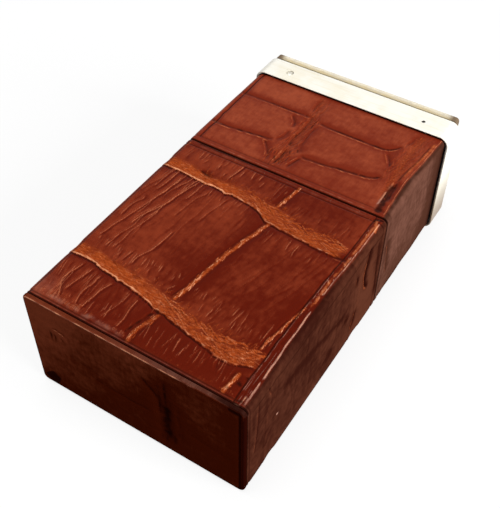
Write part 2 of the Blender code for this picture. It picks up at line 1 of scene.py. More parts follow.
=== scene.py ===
"""Looks of a slip-lid pin box: folded crocodile hide, a bone collar, suede and velvet pads, and cedar and
paper inside.

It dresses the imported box, which stays as it is. Lengths here are millimetres, and become metres where a
mesh is made. X is the width, Y runs from the lid's closed end to the foot pad, and Z is up.
"""

import math

import bmesh
import bpy
import numpy as np
from bpy.props import FloatProperty, FloatVectorProperty, PointerProperty
from mathutils import Euler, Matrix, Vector


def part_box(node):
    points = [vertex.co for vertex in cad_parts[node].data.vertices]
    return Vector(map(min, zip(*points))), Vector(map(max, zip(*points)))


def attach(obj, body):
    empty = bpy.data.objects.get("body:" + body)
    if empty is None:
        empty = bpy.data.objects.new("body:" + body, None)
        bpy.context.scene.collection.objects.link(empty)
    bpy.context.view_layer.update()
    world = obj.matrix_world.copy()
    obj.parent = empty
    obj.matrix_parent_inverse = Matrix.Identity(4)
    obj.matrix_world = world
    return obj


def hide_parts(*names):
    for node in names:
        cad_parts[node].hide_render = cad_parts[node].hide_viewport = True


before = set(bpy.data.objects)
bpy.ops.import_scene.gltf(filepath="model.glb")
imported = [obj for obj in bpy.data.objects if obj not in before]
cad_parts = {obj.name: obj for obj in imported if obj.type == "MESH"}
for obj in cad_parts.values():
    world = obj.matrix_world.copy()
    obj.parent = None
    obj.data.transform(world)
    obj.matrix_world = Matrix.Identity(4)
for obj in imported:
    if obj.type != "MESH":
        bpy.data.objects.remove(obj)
bpy.context.view_layer.update()

bl_info = {
    "name": "Slip-lid pin box",
    "version": (1, 0, 0),
    "blender": (4, 5, 0),
    "location": "3D View > Sidebar > Pin Box",
    "description": "Dresses the packed pin box in hide, bone, suede, velvet, cedar and paper",
    "category": "Object",
}

MM = 0.001
# Lengths in mm: half the width of the hide's upper face, and where u reaches the lower right fold
HALF_TOP = 25.0
LOWER_FOLD = 76.44
# How far the cup's hide is drawn in at its sides where it meets the collar
DRAWN_IN = 0.15
# The glue line in the mitres of the lip
GLUE_LINE = 0.3
# Where the collar shows its rebate: half the straight part of its sides, its middle and its corner radius
REBATE_STRAIGHT = (23.1, 11.75)
REBATE_MIDDLE = 14.15
REBATE_CORNER = 2.07


def linear(code):
    """An sRGB hex colour as linear red, green, blue and alpha."""
    channels = [int(code[i : i + 2], 16) / 255 for i in (1, 3, 5)]
    return (*(c / 12.92 if c <= 0.04045 else ((c + 0.055) / 1.055) ** 2.4 for c in channels), 1.0)


WHITE = linear("#FFFFFF")


def colour_property(label, code, description):
    """A colour that the panel shows, with its default as hex."""
    return FloatVectorProperty(
        name=label, description=description, default=linear(code), subtype="COLOR", size=4, min=0, max=1
    )


def length_property(label, value, description):
    """A length that the panel shows, with its default in millimetres."""
    return FloatProperty(
        name=label, description=description, default=value * MM, unit="LENGTH", subtype="DISTANCE", min=0
    )


def corners_mm(node):
    """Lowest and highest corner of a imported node, in millimetres."""
    low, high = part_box(node)
    return low / MM, high / MM


# Sizes


class HideSettings(bpy.types.PropertyGroup):
    """The hide over both halves of the box."""

    thickness: length_property("Thickness", 0.9, "Thickness of the hide")
    fold_radius: length_property("Fold radius", 1.3, "Outer radius where the hide folds over the boards")
    wall: length_property("Wall", 3.7, "Depth that the hide turns in at the mouths")
    seam_gap: length_property("Seam gap", 0.3, "Gap where the hide meets underneath")
    top_step: length_property("Mesh step above", 0.17, "Mesh spacing on the upper face")
    side_step: length_property("Mesh step elsewhere", 0.8, "Mesh spacing on the other faces")
    along_step: length_property("Mesh step along", 0.36, "Mesh spacing along the box")
    dark_tile: colour_property("Dark tile", "#571407", "Deepest dye on the lid's upper tiles")
    light_tile: colour_property("Light tile", "#82331C", "Lightest dye on the lid's upper tiles")
    cup_dark: colour_property("Dark cup tile", "#6F2413", "Deepest dye on the cup's upper tiles")
    cup_light: colour_property("Light cup tile", "#96442A", "Lightest dye on the cup's upper tiles")
    # The lid's and cup's side colours are darker and greyer than their tiles: painted shade and a painted
    # grey sheen on the sides. The end's colours are darker too, partly painted shade.
    side_dark: colour_property("Dark side", "#31130C", "Deepest dye on the lid's sides")
    side_light: colour_property("Light side", "#562E20", "Lightest dye on the lid's sides")
    end_dark: colour_property("Dark end", "#471404", "Deepest dye on the end panel")
    end_light: colour_property("Light end", "#7C3822", "Lightest dye on the end panel")
    cup_side_dark: colour_property("Dark cup side", "#4A2B20", "Deepest dye on the cup's sides")
    cup_side_light: colour_property("Light cup side", "#70493C", "Lightest dye on the cup's sides")
    valley: colour_property("Valley", "#9C4219", "Open fibres between the tiles")
    crest: colour_property("Crest", "#D89068", "Rubbed crests of the folds")
    # Burnish is dark dye in creases and pressed lines, and also paints shadows and shade: under the bands,
    # beside wrinkles, creases and seams, and at the end's corner
    burnish_and_painted_shade: colour_property("Burnish", "#1E0503", "Dark dye in creases and pressed lines")
    scuff: colour_property("Scuff", "#B28270", "Dry scuffs along the edges")
    dust: colour_property("Dust", "#8A5E50", "Worn glaze that has turned dull and greyish")
    gloss: colour_property("Gloss", "#E08A60", "Warm tint of the glaze's shine")


class CollarSettings(bpy.types.PropertyGroup):
    """The bone collar and its pins."""

    corner_radius: length_property("Corner radius", 2.4, "Radius of the collar's corners")
    edge_radius: length_property("Edge radius", 0.35, "Rounding of the collar's back edge")
    rebate_depth: length_property("Rebate depth", 1.2, "Depth of the rebate over the end of the hide")
    rebate_gap: length_property("Rebate gap", 0.3, "Gap between hide and collar")
    bone: colour_property("Bone", "#F3F0E6", "Polished bone")
    # Bone shade colours the growth lines and part of the painted shade towards the foot; bone soil paints the
    # rest of that shade
    bone_shade: colour_property("Bone shade", "#E6DCC0", "Growth lines and stained edges of the bone")
    bone_foot_painted_shade: colour_property("Bone soil", "#86705A", "Handling dirt towards the collar's foot")
    bone_pore: colour_property("Bone pore", "#B79E74", "Pores of the bone")
    # Rebate dirt paints the shade in the rebate round the hide
    rebate_painted_shade: colour_property("Rebate dirt", "#150C08", "Old dirt in the rebate round the hide")
    pin_metal: colour_property("Pin metal", "#E9E4D6", "Nickel silver")
    # Pin tarnish is tarnish on the open pins, and paints the shade on the sunk heads
    pin_tarnish: colour_property("Pin tarnish", "#1C1712", "Tarnish and dirt on the pins")


class SoftSettings(bpy.types.PropertyGroup):
    """The two pads."""

    step: length_property("Mesh step", 0.4, "Mesh spacing on the pads")
    nap: length_property("Nap", 0.45, "Height that the suede's nap stands over the pad")
    suede: colour_property("Suede", "#CDBB93", "Buff suede")
    # Light suede is the pad's colour away from the collar
    suede_light: colour_property("Light suede", "#F1E8D2", "Suede that is handled least")
    suede_soil: colour_property("Suede soil", "#74604A", "Handling dirt at the suede's corners")
    velvet: colour_property("Velvet", "#5B0F1B", "Velvet pile")
    velvet_shade: colour_property("Velvet shade", "#2A050B", "Velvet in the gaps of its pile")


class InsideSettings(bpy.types.PropertyGroup):
    """Boards, lip and lining."""

    cedar: colour_property("Cedar", "#A9683F", "Early wood of the cedar")
    cedar_grain: colour_property("Cedar grain", "#7A4023", "Late wood of the cedar")
    lip: colour_property("Lip", "#B77A48", "Waxed cedar of the lip")
    lip_grain: colour_property("Lip grain", "#8A5029", "Late wood of the lip")
    paper: colour_property("Paper", "#D9C9A4", "Pasted lining paper")
    paper_shade: colour_property("Paper shade", "#BFA97E", "Fibres and paste marks of the paper")
    eased_edge: length_property("Eased edge", 0.12, "Rounding of the lip's edges")


class StageSettings(bpy.types.PropertyGroup):
    """Floor, light and camera."""

    floor_size: FloatProperty(
        name="Floor size", description="Side of the square floor", default=6.0, unit="LENGTH", min=0.5
    )
    floor_colour: colour_property("Floor", "#8C8C8C", "Floor as it lights the box from below")
    floor_glow: FloatProperty(name="Floor glow", description="Share of white glow in the floor", default=0.82)
    key_power: FloatProperty(name="Key power", description="Lamp overhead", default=4.3, unit="POWER")
    fill_power: FloatProperty(name="Fill power", description="Lamp at the right", default=9.8, unit="POWER")
    room: FloatProperty(name="Room light", description="Strength of the light from all round", default=0.25)
    lens: FloatProperty(name="Lens", description="Focal length", default=60.115, subtype="DISTANCE_CAMERA")


SETTINGS = {
    "pin_box_hide": HideSettings,
    "pin_box_collar": CollarSettings,
    "pin_box_soft": SoftSettings,
    "pin_box_inside": InsideSettings,
    "pin_box_stage": StageSettings,
}


def millimetres(settings, name):
    """A length of the settings, in millimetres."""
    return getattr(settings, name) / MM


# Meshes


def smooth_shading(mesh, sharp):
    """Shade a mesh smooth, but for edges that turn by more than an angle in degrees."""
    mesh.shade_smooth()
    mesh.set_sharp_from_angle(angle=math.radians(sharp))


def new_object(name, data):
    """An object of the scene with a mesh, a lamp or a camera."""
    made = bpy.data.objects.new(name, data)
    bpy.context.scene.collection.objects.link(made)
    return made


def mesh_object(name, points, faces, values=None):
    """A smooth object of points in millimetres, with float or vector values at its points."""
    mesh = bpy.data.meshes.new(name)
    mesh.from_pydata((np.asarray(points, float) * MM).tolist(), [], faces)
    for label, data in (values or {}).items():
        data = np.asarray(data, np.float32)
        vector = data.ndim > 1
        layer = mesh.attributes.new(label, "FLOAT_VECTOR" if vector else "FLOAT", "POINT")
        layer.data.foreach_set("vector" if vector else "value", data.reshape(-1))
    made = bmesh.new()
    made.from_mesh(mesh)
    bmesh.ops.recalc_face_normals(made, faces=made.faces)
    made.to_mesh(mesh)
    made.free()
    smooth_shading(mesh, 50)
    return new_object(name, mesh)


def strips(first, second):
    """Faces between closed rows of points, each row of the first list to the same row of the second."""
    faces = np.stack((first, np.roll(first, -1, -1), np.roll(second, -1, -1), second), -1)
    return faces.reshape(-1, 4).tolist()


def smooth_step(low, high, value):
    """0 up to a low value, 1 from a high value on, and a soft rise between them."""
    share = np.clip((value - low) / (high - low), 0, 1)
    return share * share * (3 - 2 * share)


def bell(away, width):
    """1 in the middle, with a soft fall to both sides."""
    return np.exp(-((away / width) ** 2))


def rounded(inset, radius):
    """How far a rounded edge lies behind its face, at an inset from the edge."""
    return radius - np.sqrt(radius**2 - np.clip(radius - inset, 0, radius) ** 2)


def lattice_noise(first, second, size, seed):
    """Smooth noise from -1 to 1 over a grid of two ascending lists, with features of the given size."""
    rng = np.random.default_rng(seed)
    weights = []
    for places in (first, second):
        reach = (places - places.min()) / size
        cell = np.floor(reach).astype(int)
        share = smooth_step(0, 1, reach - cell)
        weight = np.zeros((len(places), cell.max() + 2))
        weight[np.arange(len(places)), cell] = 1 - share
        weight[np.arange(len(places)), cell + 1] = share
        weights.append(weight)
    values = rng.uniform(-1, 1, (weights[0].shape[1], weights[1].shape[1]))
    return weights[0] @ values @ weights[1].T


def smooth_line(points, step=0.35):
    """A curve through the points, as points a step apart."""
    points = np.asarray(points, float)
    padded = np.vstack((2 * points[0] - points[1], points, 2 * points[-1] - points[-2]))
    pieces = []
    for before, start, end, after in zip(padded, padded[1:], padded[2:], padded[3:]):
        count = max(int(np.hypot(*(end - start)) / step), 1)
        t = (np.arange(count) / count)[:, None]
        pieces.append(
            0.5 * (2 * start + (end - before) * t + (2 * before - 5 * start + 4 * end - after) * t**2
                   + (3 * start - before - 3 * end + after) * t**3)
        )
    return np.vstack((*pieces, points[-1:]))


def level_off(rise, most=0.12):
    """Heights that approach a most and never pass it."""
    return np.where(rise > 0, most * np.tanh(rise / most), rise)


class FlatHide:
    """A cut piece of hide laid flat: u across and v along, ascending. Each layer has one value for each
    point of its grid: rise over the face in mm, and how worn, pale, dark and dusty the face is there; pale
    and dark also carry painted highlights and painted shade. The tone runs from 0 where the dye is deepest to
    1 where it is lightest, and also carries painted shade and light. The last layer is 1 on the faces that
    take the side colours, which paint shade and a grey sheen on them."""

    LAYERS = {"rise": 0.0, "worn": 0.0, "pale": 0.0, "dark": 0.0, "dust": 0.0, "tone": 0.5, "unfaded": 0.0}

    def __init__(self, u, v, seed):
        self.u = u
        self.v = v
        self.seed = seed
        for layer, start in self.LAYERS.items():
            setattr(self, layer, np.full((len(u), len(v)), start))
        self.warp_u = 0.1 * self.noise(1.9, 1) + 0.025 * self.noise(0.6, 2)
        self.warp_v = 0.1 * self.noise(1.9, 3) + 0.025 * self.noise(0.6, 4)
        self.breaks = 0.5 + 0.5 * self.noise(0.9, 5)

    def noise(self, size, number):
        return lattice_noise(self.u, self.v, size, self.seed * 1000 + number)

    def stroke(self, points, width, rise=0.0, tone=0.0, clear=0.0, ends=1.2, straight=False, broken=0.0,
               **marks):
        """Draw one line with soft sides and ends that fade out over a length. Marks are how worn, pale, dark
        or dusty it is, and clear takes dark dye away."""
        line = np.asarray(points, float) if straight else smooth_line(points)
        reach = 2.6 * width + 0.3
        low, high = line.min(0) - reach, line.max(0) + reach
        i = slice(*np.searchsorted(self.u, (low[0], high[0])))
        j = slice(*np.searchsorted(self.v, (low[1], high[1])))
        if i.start >= i.stop or j.start >= j.stop:
            return
        sway = 0 if straight else 1
        across = (self.u[i, None] + sway * self.warp_u[i, j])[..., None]
        along = (self.v[None, j] + sway * self.warp_v[i, j])[..., None]
        start, run = line[:-1], np.diff(line, axis=0)
        length = np.maximum(np.hypot(run[:, 0], run[:, 1]), 1e-6)
        share = (across - start[:, 0]) * run[:, 0] + (along - start[:, 1]) * run[:, 1]
        share = np.clip(share / length**2, 0, 1)
        away = np.hypot(across - start[:, 0] - share * run[:, 0], along - start[:, 1] - share * run[:, 1])
        nearest = away.argmin(-1)[..., None]
        reached = np.concatenate(([0], np.cumsum(length)))
        place = reached[nearest[..., 0]] + np.take_along_axis(share * length, nearest, -1)[..., 0]
        fade = np.clip(np.minimum(place, reached[-1] - place) / ends, 0, 1) if ends else 1.0
        amount = bell(np.take_along_axis(away, nearest, -1)[..., 0], width) * fade
        if broken:
            amount = amount * (1 - broken * smooth_step(0.35, 0.75, self.breaks[i, j]))
        self.rise[i, j] += rise * amount
        self.tone[i, j] += tone * amount
        self.dark[i, j] *= 1 - clear * amount
        for mark, strength in marks.items():
            layer = getattr(self, mark)
            layer[i, j] = np.maximum(layer[i, j], strength * amount)

    def line(self, start, end, v, width, **marks):
        """A straight stroke across, from one u to another."""
        self.stroke(((start, v), (end, v)), width, straight=True, **marks)

    def cloud(self, u, v, reach_u, reach_v, tone=0.0, dust=0.0):
        """A broad soft patch of lighter or darker dye, or of dulled glaze."""
        amount = np.exp(-(((self.u[:, None] - u) / reach_u) ** 2) - ((self.v[None, :] - v) / reach_v) ** 2)
        self.tone += tone * amount
        self.dust[:] = np.maximum(self.dust, dust * amount)

    @staticmethod
    def across(points):
        """One mm square to the way that a line mostly runs, which is along the box or across it."""
        run = np.abs(points[-1] - points[0])
        return np.array((1.0, 0.0) if run[1] > run[0] else (0.0, 1.0))

    def wrinkle(self, points, strength, width=0.15, rubbed=1.0):
        """A thin raised line with a pale crest, partly rubbed and partly a painted highlight, and beside it a
        darker hollow on one side and a lighter strip on the other: painted shade and painted light.
        """
        points = np.asarray(points, float)
        across = self.across(points)
        self.stroke(points + 0.36 * across, 0.26, rise=-0.05 * strength, dark=0.42 * strength,
                    tone=-0.4 * strength)
        self.stroke(points - 0.32 * across, 0.34, tone=0.28 * strength)
        self.stroke(points, width, rise=0.08 * strength, worn=0.6 * strength * rubbed,
                    pale=0.36 * strength * rubbed, clear=0.9)

    def crease(self, points, strength, width):
        """A sunk line between two tiles: a soft darkening round it, which is painted shade, dark dye in its
        floor, and a pale lip on its near side, which is partly rubbed and partly a painted highlight."""
        points = np.asarray(points, float)
        self.stroke(points, 1.3, rise=-0.1 * strength, tone=-0.6 * strength, ends=2)
        self.stroke(points, width * 1.7, rise=-0.08 * strength, tone=-0.5 * strength, dark=0.5 * strength)
        self.stroke(points, width * 0.8, rise=-0.08 * strength, dark=0.78 * strength, broken=0.25)
        self.stroke(points - 0.72 * self.across(points), 0.2, rise=0.05 * strength, worn=0.7 * strength,
                    pale=0.3 * strength, broken=0.3)

    def strands(self, rng, u_range, v_range, count, lean, strength):
        """Fine fibres that cross each other over part of the hide, each with a dark hollow beside it. Lean is
        the steepest way that they run, across for each unit along."""
        for _ in range(count):
            middle = np.array((rng.uniform(*u_range), rng.uniform(*v_range)))
            run = np.array((rng.uniform(-lean, lean), 1.0)) * rng.uniform(0.6, 1.8)
            line = middle + np.linspace(-1, 1, 4)[:, None] * run
            line[1:3, 0] += rng.normal(0, 0.15)
            bold = rng.uniform(0.2, 1) ** 2
            self.stroke(line + (0.26, 0), 0.16, rise=-0.05, dark=0.9 * bold * strength, ends=0.5)
            self.stroke(line, 0.12, rise=0.05, worn=rng.uniform(0.3, 0.8) * strength,
                        pale=0.35 * bold * strength, ends=0.5)

    def seam(self, points, width, strength=1.0, bright=1.0):
        """An open seam of rubbed fibres between two tiles, with dark tile edges beside it, which are painted
        shade.
        """
        line = smooth_line(points)
        normal = np.gradient(line, axis=0)[:, ::-1] * (1, -1)
        normal = normal / np.hypot(normal[:, 0], normal[:, 1])[:, None]
        rng = np.random.default_rng(int(abs(line[0, 1]) * 100) + self.seed)
        self.stroke(points, width + 1.2, tone=-0.55 * strength, ends=0.6)
        self.stroke(points, width * 0.85, rise=-0.15 * strength, dark=0.5 * strength, ends=0.5)
        self.stroke(line - normal * width * 0.72, 0.2, dark=0.55 * strength, ends=0.8, broken=0.5)
        self.stroke(line + normal * width * 0.75, 0.2, dark=0.4 * strength, ends=0.8, broken=0.6)
        self.stroke(points, width * 0.4, rise=0.1 * strength, worn=0.85 * strength * bright, clear=0.9,
                    ends=0.4)
        for _ in range(round(len(line) * 1.2)):
            first = rng.integers(0, max(len(line) - 4, 1))
            piece = line[first : first + rng.integers(3, 6)]
            shift = width * rng.normal(0, 0.22)
            bend = np.linspace(0, rng.normal(0, 0.14), len(piece))[:, None]
            piece = piece + normal[first : first + len(piece)] * (shift + bend)
            if len(piece) > 1:
                self.stroke(piece, 0.1, rise=0.05 * strength, pale=rng.uniform(0.0, 0.8) * bright * strength,
                            ends=0.3, worn=strength * bright, clear=0.8)

    def press(self, points, strength):
        """A straight pressed line."""
        self.stroke(points, 0.2, rise=-0.14 * strength, dark=0.8 * strength, ends=0, straight=True)

    def tufts(self, points, reach, strength, count):
        """Pale frayed ends that stand side by side along a line."""
        rng = np.random.default_rng(self.seed * 91 + count)
        line = smooth_line(points)
        for _ in range(count):
            place = line[rng.integers(len(line))] + rng.normal(0, 0.12, 2)
            tip = place + (rng.normal(0, 0.15), reach * rng.uniform(0.3, 1.1))
            self.stroke((place, tip), rng.uniform(0.1, 0.24), rise=0.02, worn=0.42,
                        pale=strength * rng.uniform(0.1, 0.9), ends=0.3, clear=0.4, straight=True)

    def scuffs(self, points, width, strength, flecks, lean=(0.1, 0.3)):
        """Small dry flecks strewn along a line, drawn out one way."""
        rng = np.random.default_rng(self.seed * 77 + flecks)
        line = smooth_line(points)
        for _ in range(flecks):
            place = line[rng.integers(len(line))]
            run = np.abs(rng.normal(0, lean)) * (rng.choice((-1, 1)), 1)
            spot = place + rng.normal(0, width / 2, 2)
            self.stroke((spot - run, spot + run), rng.uniform(0.08, 0.13), rise=0.02,
                        pale=strength * rng.uniform(0.3, 0.9), ends=0.15, clear=0.5, straight=True)

    def at(self, layer, u, v):
        """A layer's values at any places, found between the points of the grid."""
        column = np.interp(u, self.u, np.arange(len(self.u)))
        row = np.interp(v, self.v, np.arange(len(self.v)))
        i = np.clip(column.astype(int), 0, len(self.u) - 2)
        j = np.clip(row.astype(int), 0, len(self.v) - 2)
        a, b = column - i, row - j
        values = getattr(self, layer)
        return ((1 - a) * (1 - b) * values[i, j] + a * (1 - b) * values[i + 1, j]
                + (1 - a) * b * values[i, j + 1] + a * b * values[i + 1, j + 1])


class Fold:
    """The rounded outline that a wrap follows, measured both ways from the middle of its upper face."""

    INNER_RADIUS = 0.3

    def __init__(self, width, height, radius, centre_z):
        self.half_width = width / 2
        self.half_height = height / 2
        self.radius = radius
        self.centre_z = centre_z
        self.over = self.half_width - radius
        self.down = height - 2 * radius
        self.arc = math.radians(90) * radius
        self.half_girth = 2 * self.over + self.down + 2 * self.arc

    def place(self, round_, depth):
        """X and Z of places round the outline, at a depth under its face."""
        q = np.abs(round_)
        radius = np.maximum(self.radius - depth, self.INNER_RADIUS)
        over = self.half_width - depth - radius
        down = self.half_height - depth - radius
        runs = []
        reached = 0.0
        for run in (self.over, self.arc, self.down, self.arc, self.over):
            runs.append(np.clip((q - reached) / run, 0, 1))
            reached += run
        angle = math.radians(90) * (runs[1] + runs[3])
        x = over * (runs[0] - runs[4]) + radius * np.sin(angle)
        z = down * (1 - 2 * runs[2]) + radius * np.cos(angle)
        return np.sign(round_) * x, self.centre_z + z

    def columns(self, top_step, side_step, gap):
        """Places round the outline, close together above and wider apart elsewhere."""
        edges = np.cumsum((self.over, self.arc, self.down, self.arc, self.over))
        places = [np.linspace(0, edges[0], round(edges[0] / top_step) + 1)]
        for start, end, step in (
            (edges[0], edges[1], self.arc / 9),
            (edges[1], edges[2], side_step * 0.6),
            (edges[2], edges[3], self.arc / 6),
            (edges[3], edges[4] - gap / 2, side_step),
        ):
            places.append(np.linspace(start, end, max(round((end - start) / step), 1) + 1)[1:])
        right = np.concatenate(places)
        return np.concatenate((-right[:0:-1], right))


def follow(line, at):
    """Where a line lies at a place: it is given as (place, where it lies)."""
    return np.interp(at, *zip(*line))


def mark_painted_sides(sheet, ridge):
    """Mark the faces that take the side colours, which paint shade and a grey sheen on them: 0 on the upper
    face up to its rubbed right ridge, and 1 on the others."""
    beyond = smooth_step(0, 0.5, sheet.u[:, None] - follow(ridge, sheet.v))
    sheet.unfaded[:] = 1 - smooth_step(-1.5, 0.5, sheet.u)[:, None] * (1 - beyond)


def wrap_piece(name, sheet, fold, mouth_y, away, wall, thickness, end_round, skive=0.0, drawn_in=0.0):
    """The folded hide: its face from the mouth back, its turned-in mouth, and its inner side. Row 0 of the
    sheet lies at the mouth, and away is -1 where the hide runs towards the lid's closed end. Towards its far
    end it is skived, and drawn in at its sides."""
    length = sheet.v[-1]
    mouth_round, skived = 0.32, 1.6
    edge = rounded(sheet.v, mouth_round) + rounded(length - sheet.v, end_round)
    edge = edge + skive * smooth_step(length - skived, length, sheet.v)
    # 1 on both sides, from a little inside the upper folds to a little past the lower ones
    beside = np.abs(sheet.u - HALF_TOP)
    beside = smooth_step(22, 25.4, beside) * (1 - smooth_step(49.5, 52.5, beside))
    edge = edge[None, :] + drawn_in * beside[:, None] * smooth_step(length / 4, length, sheet.v)
    outer_depth = edge - level_off(sheet.rise)
    # Place along and depth of the inner side and the turned-in mouth, from the far end back to the mouth
    inner = ((length, thickness), (0.85, thickness), (0.8, thickness + 0.1), (0.8, wall - 0.1), (0.7, wall),
             (0.32, wall), (0.14, wall - 0.16), (0.1, wall - 0.6), (0.07, 2.2), (0.03, 1.2), (0.0, 0.6))
    inner_v, inner_depth = np.array(inner).T
    behind = (len(sheet.u), len(inner))
    v = np.concatenate((sheet.v, inner_v))
    depth = np.hstack((outer_depth, np.broadcast_to(inner_depth, behind)))
    x, z = fold.place(sheet.u[:, None] - HALF_TOP, depth)
    y = np.broadcast_to(mouth_y + away * v, x.shape)
    points = np.stack((x, y, z), -1).reshape(-1, 3)
    index = np.arange(len(points)).reshape(x.shape)
    a, b = index[:-1], index[1:]
    quads = np.stack((a, b, np.roll(b, -1, 1), np.roll(a, -1, 1)), -1).reshape(-1, 4).tolist()
    faces = quads + [index[0].tolist(), index[-1][::-1].tolist()]
    # The hide is plain and dark there, darkest on its inner side
    plain = {"worn": 0.0, "pale": 0.0, "dark": np.where(inner_v > 0.75, 1.0, 0.6), "dust": 0.0, "tone": 0.5,
             "unfaded": sheet.unfaded[:, :1]}
    values = {label: np.hstack((getattr(sheet, label), np.broadcast_to(value, behind))).reshape(-1)
              for label, value in plain.items()}
    values["place"] = np.stack((np.broadcast_to(sheet.u[:, None], x.shape), np.broadcast_to(v, x.shape),
                                np.maximum(depth, 0)), -1).reshape(-1, 3)
    return mesh_object(name, points, faces, values)


def plate_piece(name, width, height, corner, step, face, back, centre_z, layers):
    """A flat piece with round corners. face(x, z, inset) gives the y of its showing side, an inset from its
    outline, and back is the y of its other side. layers(x, z, inset) gives values for its points."""
    side_rows = 4
    grids = []
    for size in (width, height):
        half = size / 2
        middle = np.linspace(-half + corner, half - corner, round((size - 2 * corner) / step) + 1)
        edge = corner * np.sin(np.radians(np.linspace(0, 90, 9)))[1:]
        grids.append(np.concatenate((-half + corner - edge[::-1], middle, half - corner + edge)))
    gx, gz = np.meshgrid(*grids, indexing="ij")
    over_x = np.clip(np.abs(gx) - (width / 2 - corner), 0, None) / corner
    over_z = np.clip(np.abs(gz) - (height / 2 - corner), 0, None) / corner
    x = gx - np.sign(gx) * corner * over_x * (1 - np.sqrt(1 - over_z**2 / 2))
    z = gz - np.sign(gz) * corner * over_z * (1 - np.sqrt(1 - over_x**2 / 2))
    reach = np.hypot(np.clip(np.abs(x) - (width / 2 - corner), 0, None),
                     np.clip(np.abs(z) - (height / 2 - corner), 0, None))
    inset = np.where((over_x > 0) & (over_z > 0), corner - reach,
                     np.minimum(width / 2 - np.abs(x), height / 2 - np.abs(z)))
    inset = np.clip(inset, 0, None)
    index = np.arange(x.size).reshape(x.shape)
    rim = np.concatenate((index[:, 0], index[-1, 1:], index[-2::-1, -1], index[0, -2:0:-1]))
    points = [np.stack((x, face(x, z, inset), z), -1).reshape(-1, 3)]
    faces = np.stack((index[:-1, :-1], index[1:, :-1], index[1:, 1:], index[:-1, 1:]), -1)
    faces = faces.reshape(-1, 4).tolist()
    values = {label: [data.reshape(x.size, -1)] for label, data in layers(x, z, inset).items()}
    # Its sides go back from the rim in rows
    ring = rim
    for row in range(side_rows):
        level = points[0][rim]
        level[:, 1] += (back - level[:, 1]) * ((row + 1) / side_rows)
        points.append(level)
        for parts in values.values():
            parts.append(parts[0][rim])
        following = np.arange(len(rim)) + x.size + row * len(rim)
        faces += strips(ring, following)
        ring = following
    faces.append(ring.tolist())
    points = np.vstack(points)
    points[:, 2] += centre_z
    values = {label: np.vstack(parts).squeeze() for label, parts in values.items()}
    return mesh_object(name, points, faces, values)


def lofted_ring(name, sections, steps, centre_z):
    """A closed ring through rounded rectangles (width, height, radius, y), with a number of steps round each
    corner."""
    angles = np.radians(np.linspace(0, 90, steps + 1))
    rings = []
    for width, height, radius, y in sections:
        outline = []
        for corner, (side_x, side_z) in enumerate(((1, 1), (-1, 1), (-1, -1), (1, -1))):
            turned = angles + math.radians(90) * corner
            x = side_x * (width / 2 - radius) + radius * np.cos(turned)
            z = side_z * (height / 2 - radius) + radius * np.sin(turned) + centre_z
            outline.append(np.stack((x, np.full(len(angles), y), z), -1))
        rings.append(np.vstack(outline))
    points = np.array(rings)
    index = np.arange(points.shape[0] * points.shape[1]).reshape(points.shape[:2])
    return mesh_object(name, points.reshape(-1, 3), strips(index, np.roll(index, -1, 0)))


def turned_piece(name, profile, x, y, z, upward, steps=32):
    """A piece turned about the vertical from a profile of (radius, height), which starts and ends on the
    axis."""
    angles = np.radians(np.arange(steps) * 360 / steps)
    rings = [np.stack((x + r * np.cos(angles), y + r * np.sin(angles), np.full(steps, z + upward * h)), -1)
             for r, h in profile[1:-1]]
    tips = [(x, y, z + upward * h) for _, h in (profile[0], profile[-1])]
    points = np.vstack((*rings, tips))
    index = np.arange(len(rings) * steps).reshape(len(rings), steps)
    faces = strips(index[:-1], index[1:])
    for ring, tip in ((index[0], len(points) - 2), (index[-1], len(points) - 1)):
        faces += [[a, b, tip] for a, b in zip(ring.tolist(), np.roll(ring, -1).tolist())]
    return mesh_object(name, points, faces)


def cut_away(piece, cutters):
    """Cut every cutter out of a piece, and remove the cutters."""
    for cutter in cutters:
        cut = piece.modifiers.new("cut", "BOOLEAN")
        cut.operation = "DIFFERENCE"
        cut.solver = "EXACT"
        cut.object = cutter
    bpy.context.view_layer.update()
    shaped = bpy.data.meshes.new_from_object(piece.evaluated_get(bpy.context.evaluated_depsgraph_get()))
    piece.modifiers.clear()
    piece.data = shaped
    smooth_shading(shaped, 50)
    for cutter in cutters:
        bpy.data.objects.remove(cutter)


def eased_copy(node_name, name, width, run, glue):
    """A copy of a packed sheet with its edges rounded, which stands for it. Its ends go out along the axis
    of its run until the mitres meet, so that no light falls through the corners."""
    made = bmesh.new()
    made.from_mesh(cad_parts[node_name].data)
    places = [vert.co[run] for vert in made.verts]
    middle = (min(places) + max(places)) / 2
    for vert in made.verts:
        vert.co[run] += math.copysign(glue * MM / math.sqrt(2), vert.co[run] - middle)
    bmesh.ops.remove_doubles(made, verts=made.verts, dist=0.002 * MM)
    bmesh.ops.dissolve_limit(made, angle_limit=math.radians(3), verts=made.verts, edges=made.edges)
    sharp = [edge for edge in made.edges if edge.is_manifold and edge.calc_face_angle() > math.radians(30)]
    bmesh.ops.bevel(made, geom=sharp, offset=width * MM, segments=3, profile=0.5, affect="EDGES",
                    clamp_overlap=True)
    bmesh.ops.recalc_face_normals(made, faces=made.faces)
    mesh = bpy.data.meshes.new(name)
    made.to_mesh(mesh)
    made.free()
    smooth_shading(mesh, 35)
    return new_object(name, mesh)


# Materials


def node(tree, kind, inputs=None, **settings):
    """Add one node. Its inputs are by name or number, and are values or the sockets that feed them."""
    made = tree.nodes.new(kind)
    for name, value in settings.items():
        setattr(made, name, value)
    feed(tree, made, inputs or {})
    return made


def feed(tree, made, inputs):
    """Set or link inputs of a node that exists."""
    for name, value in inputs.items():
        if isinstance(value, bpy.types.NodeSocket):
            tree.links.new(value, made.inputs[name])
        else:
            made.inputs[name].default_value = value


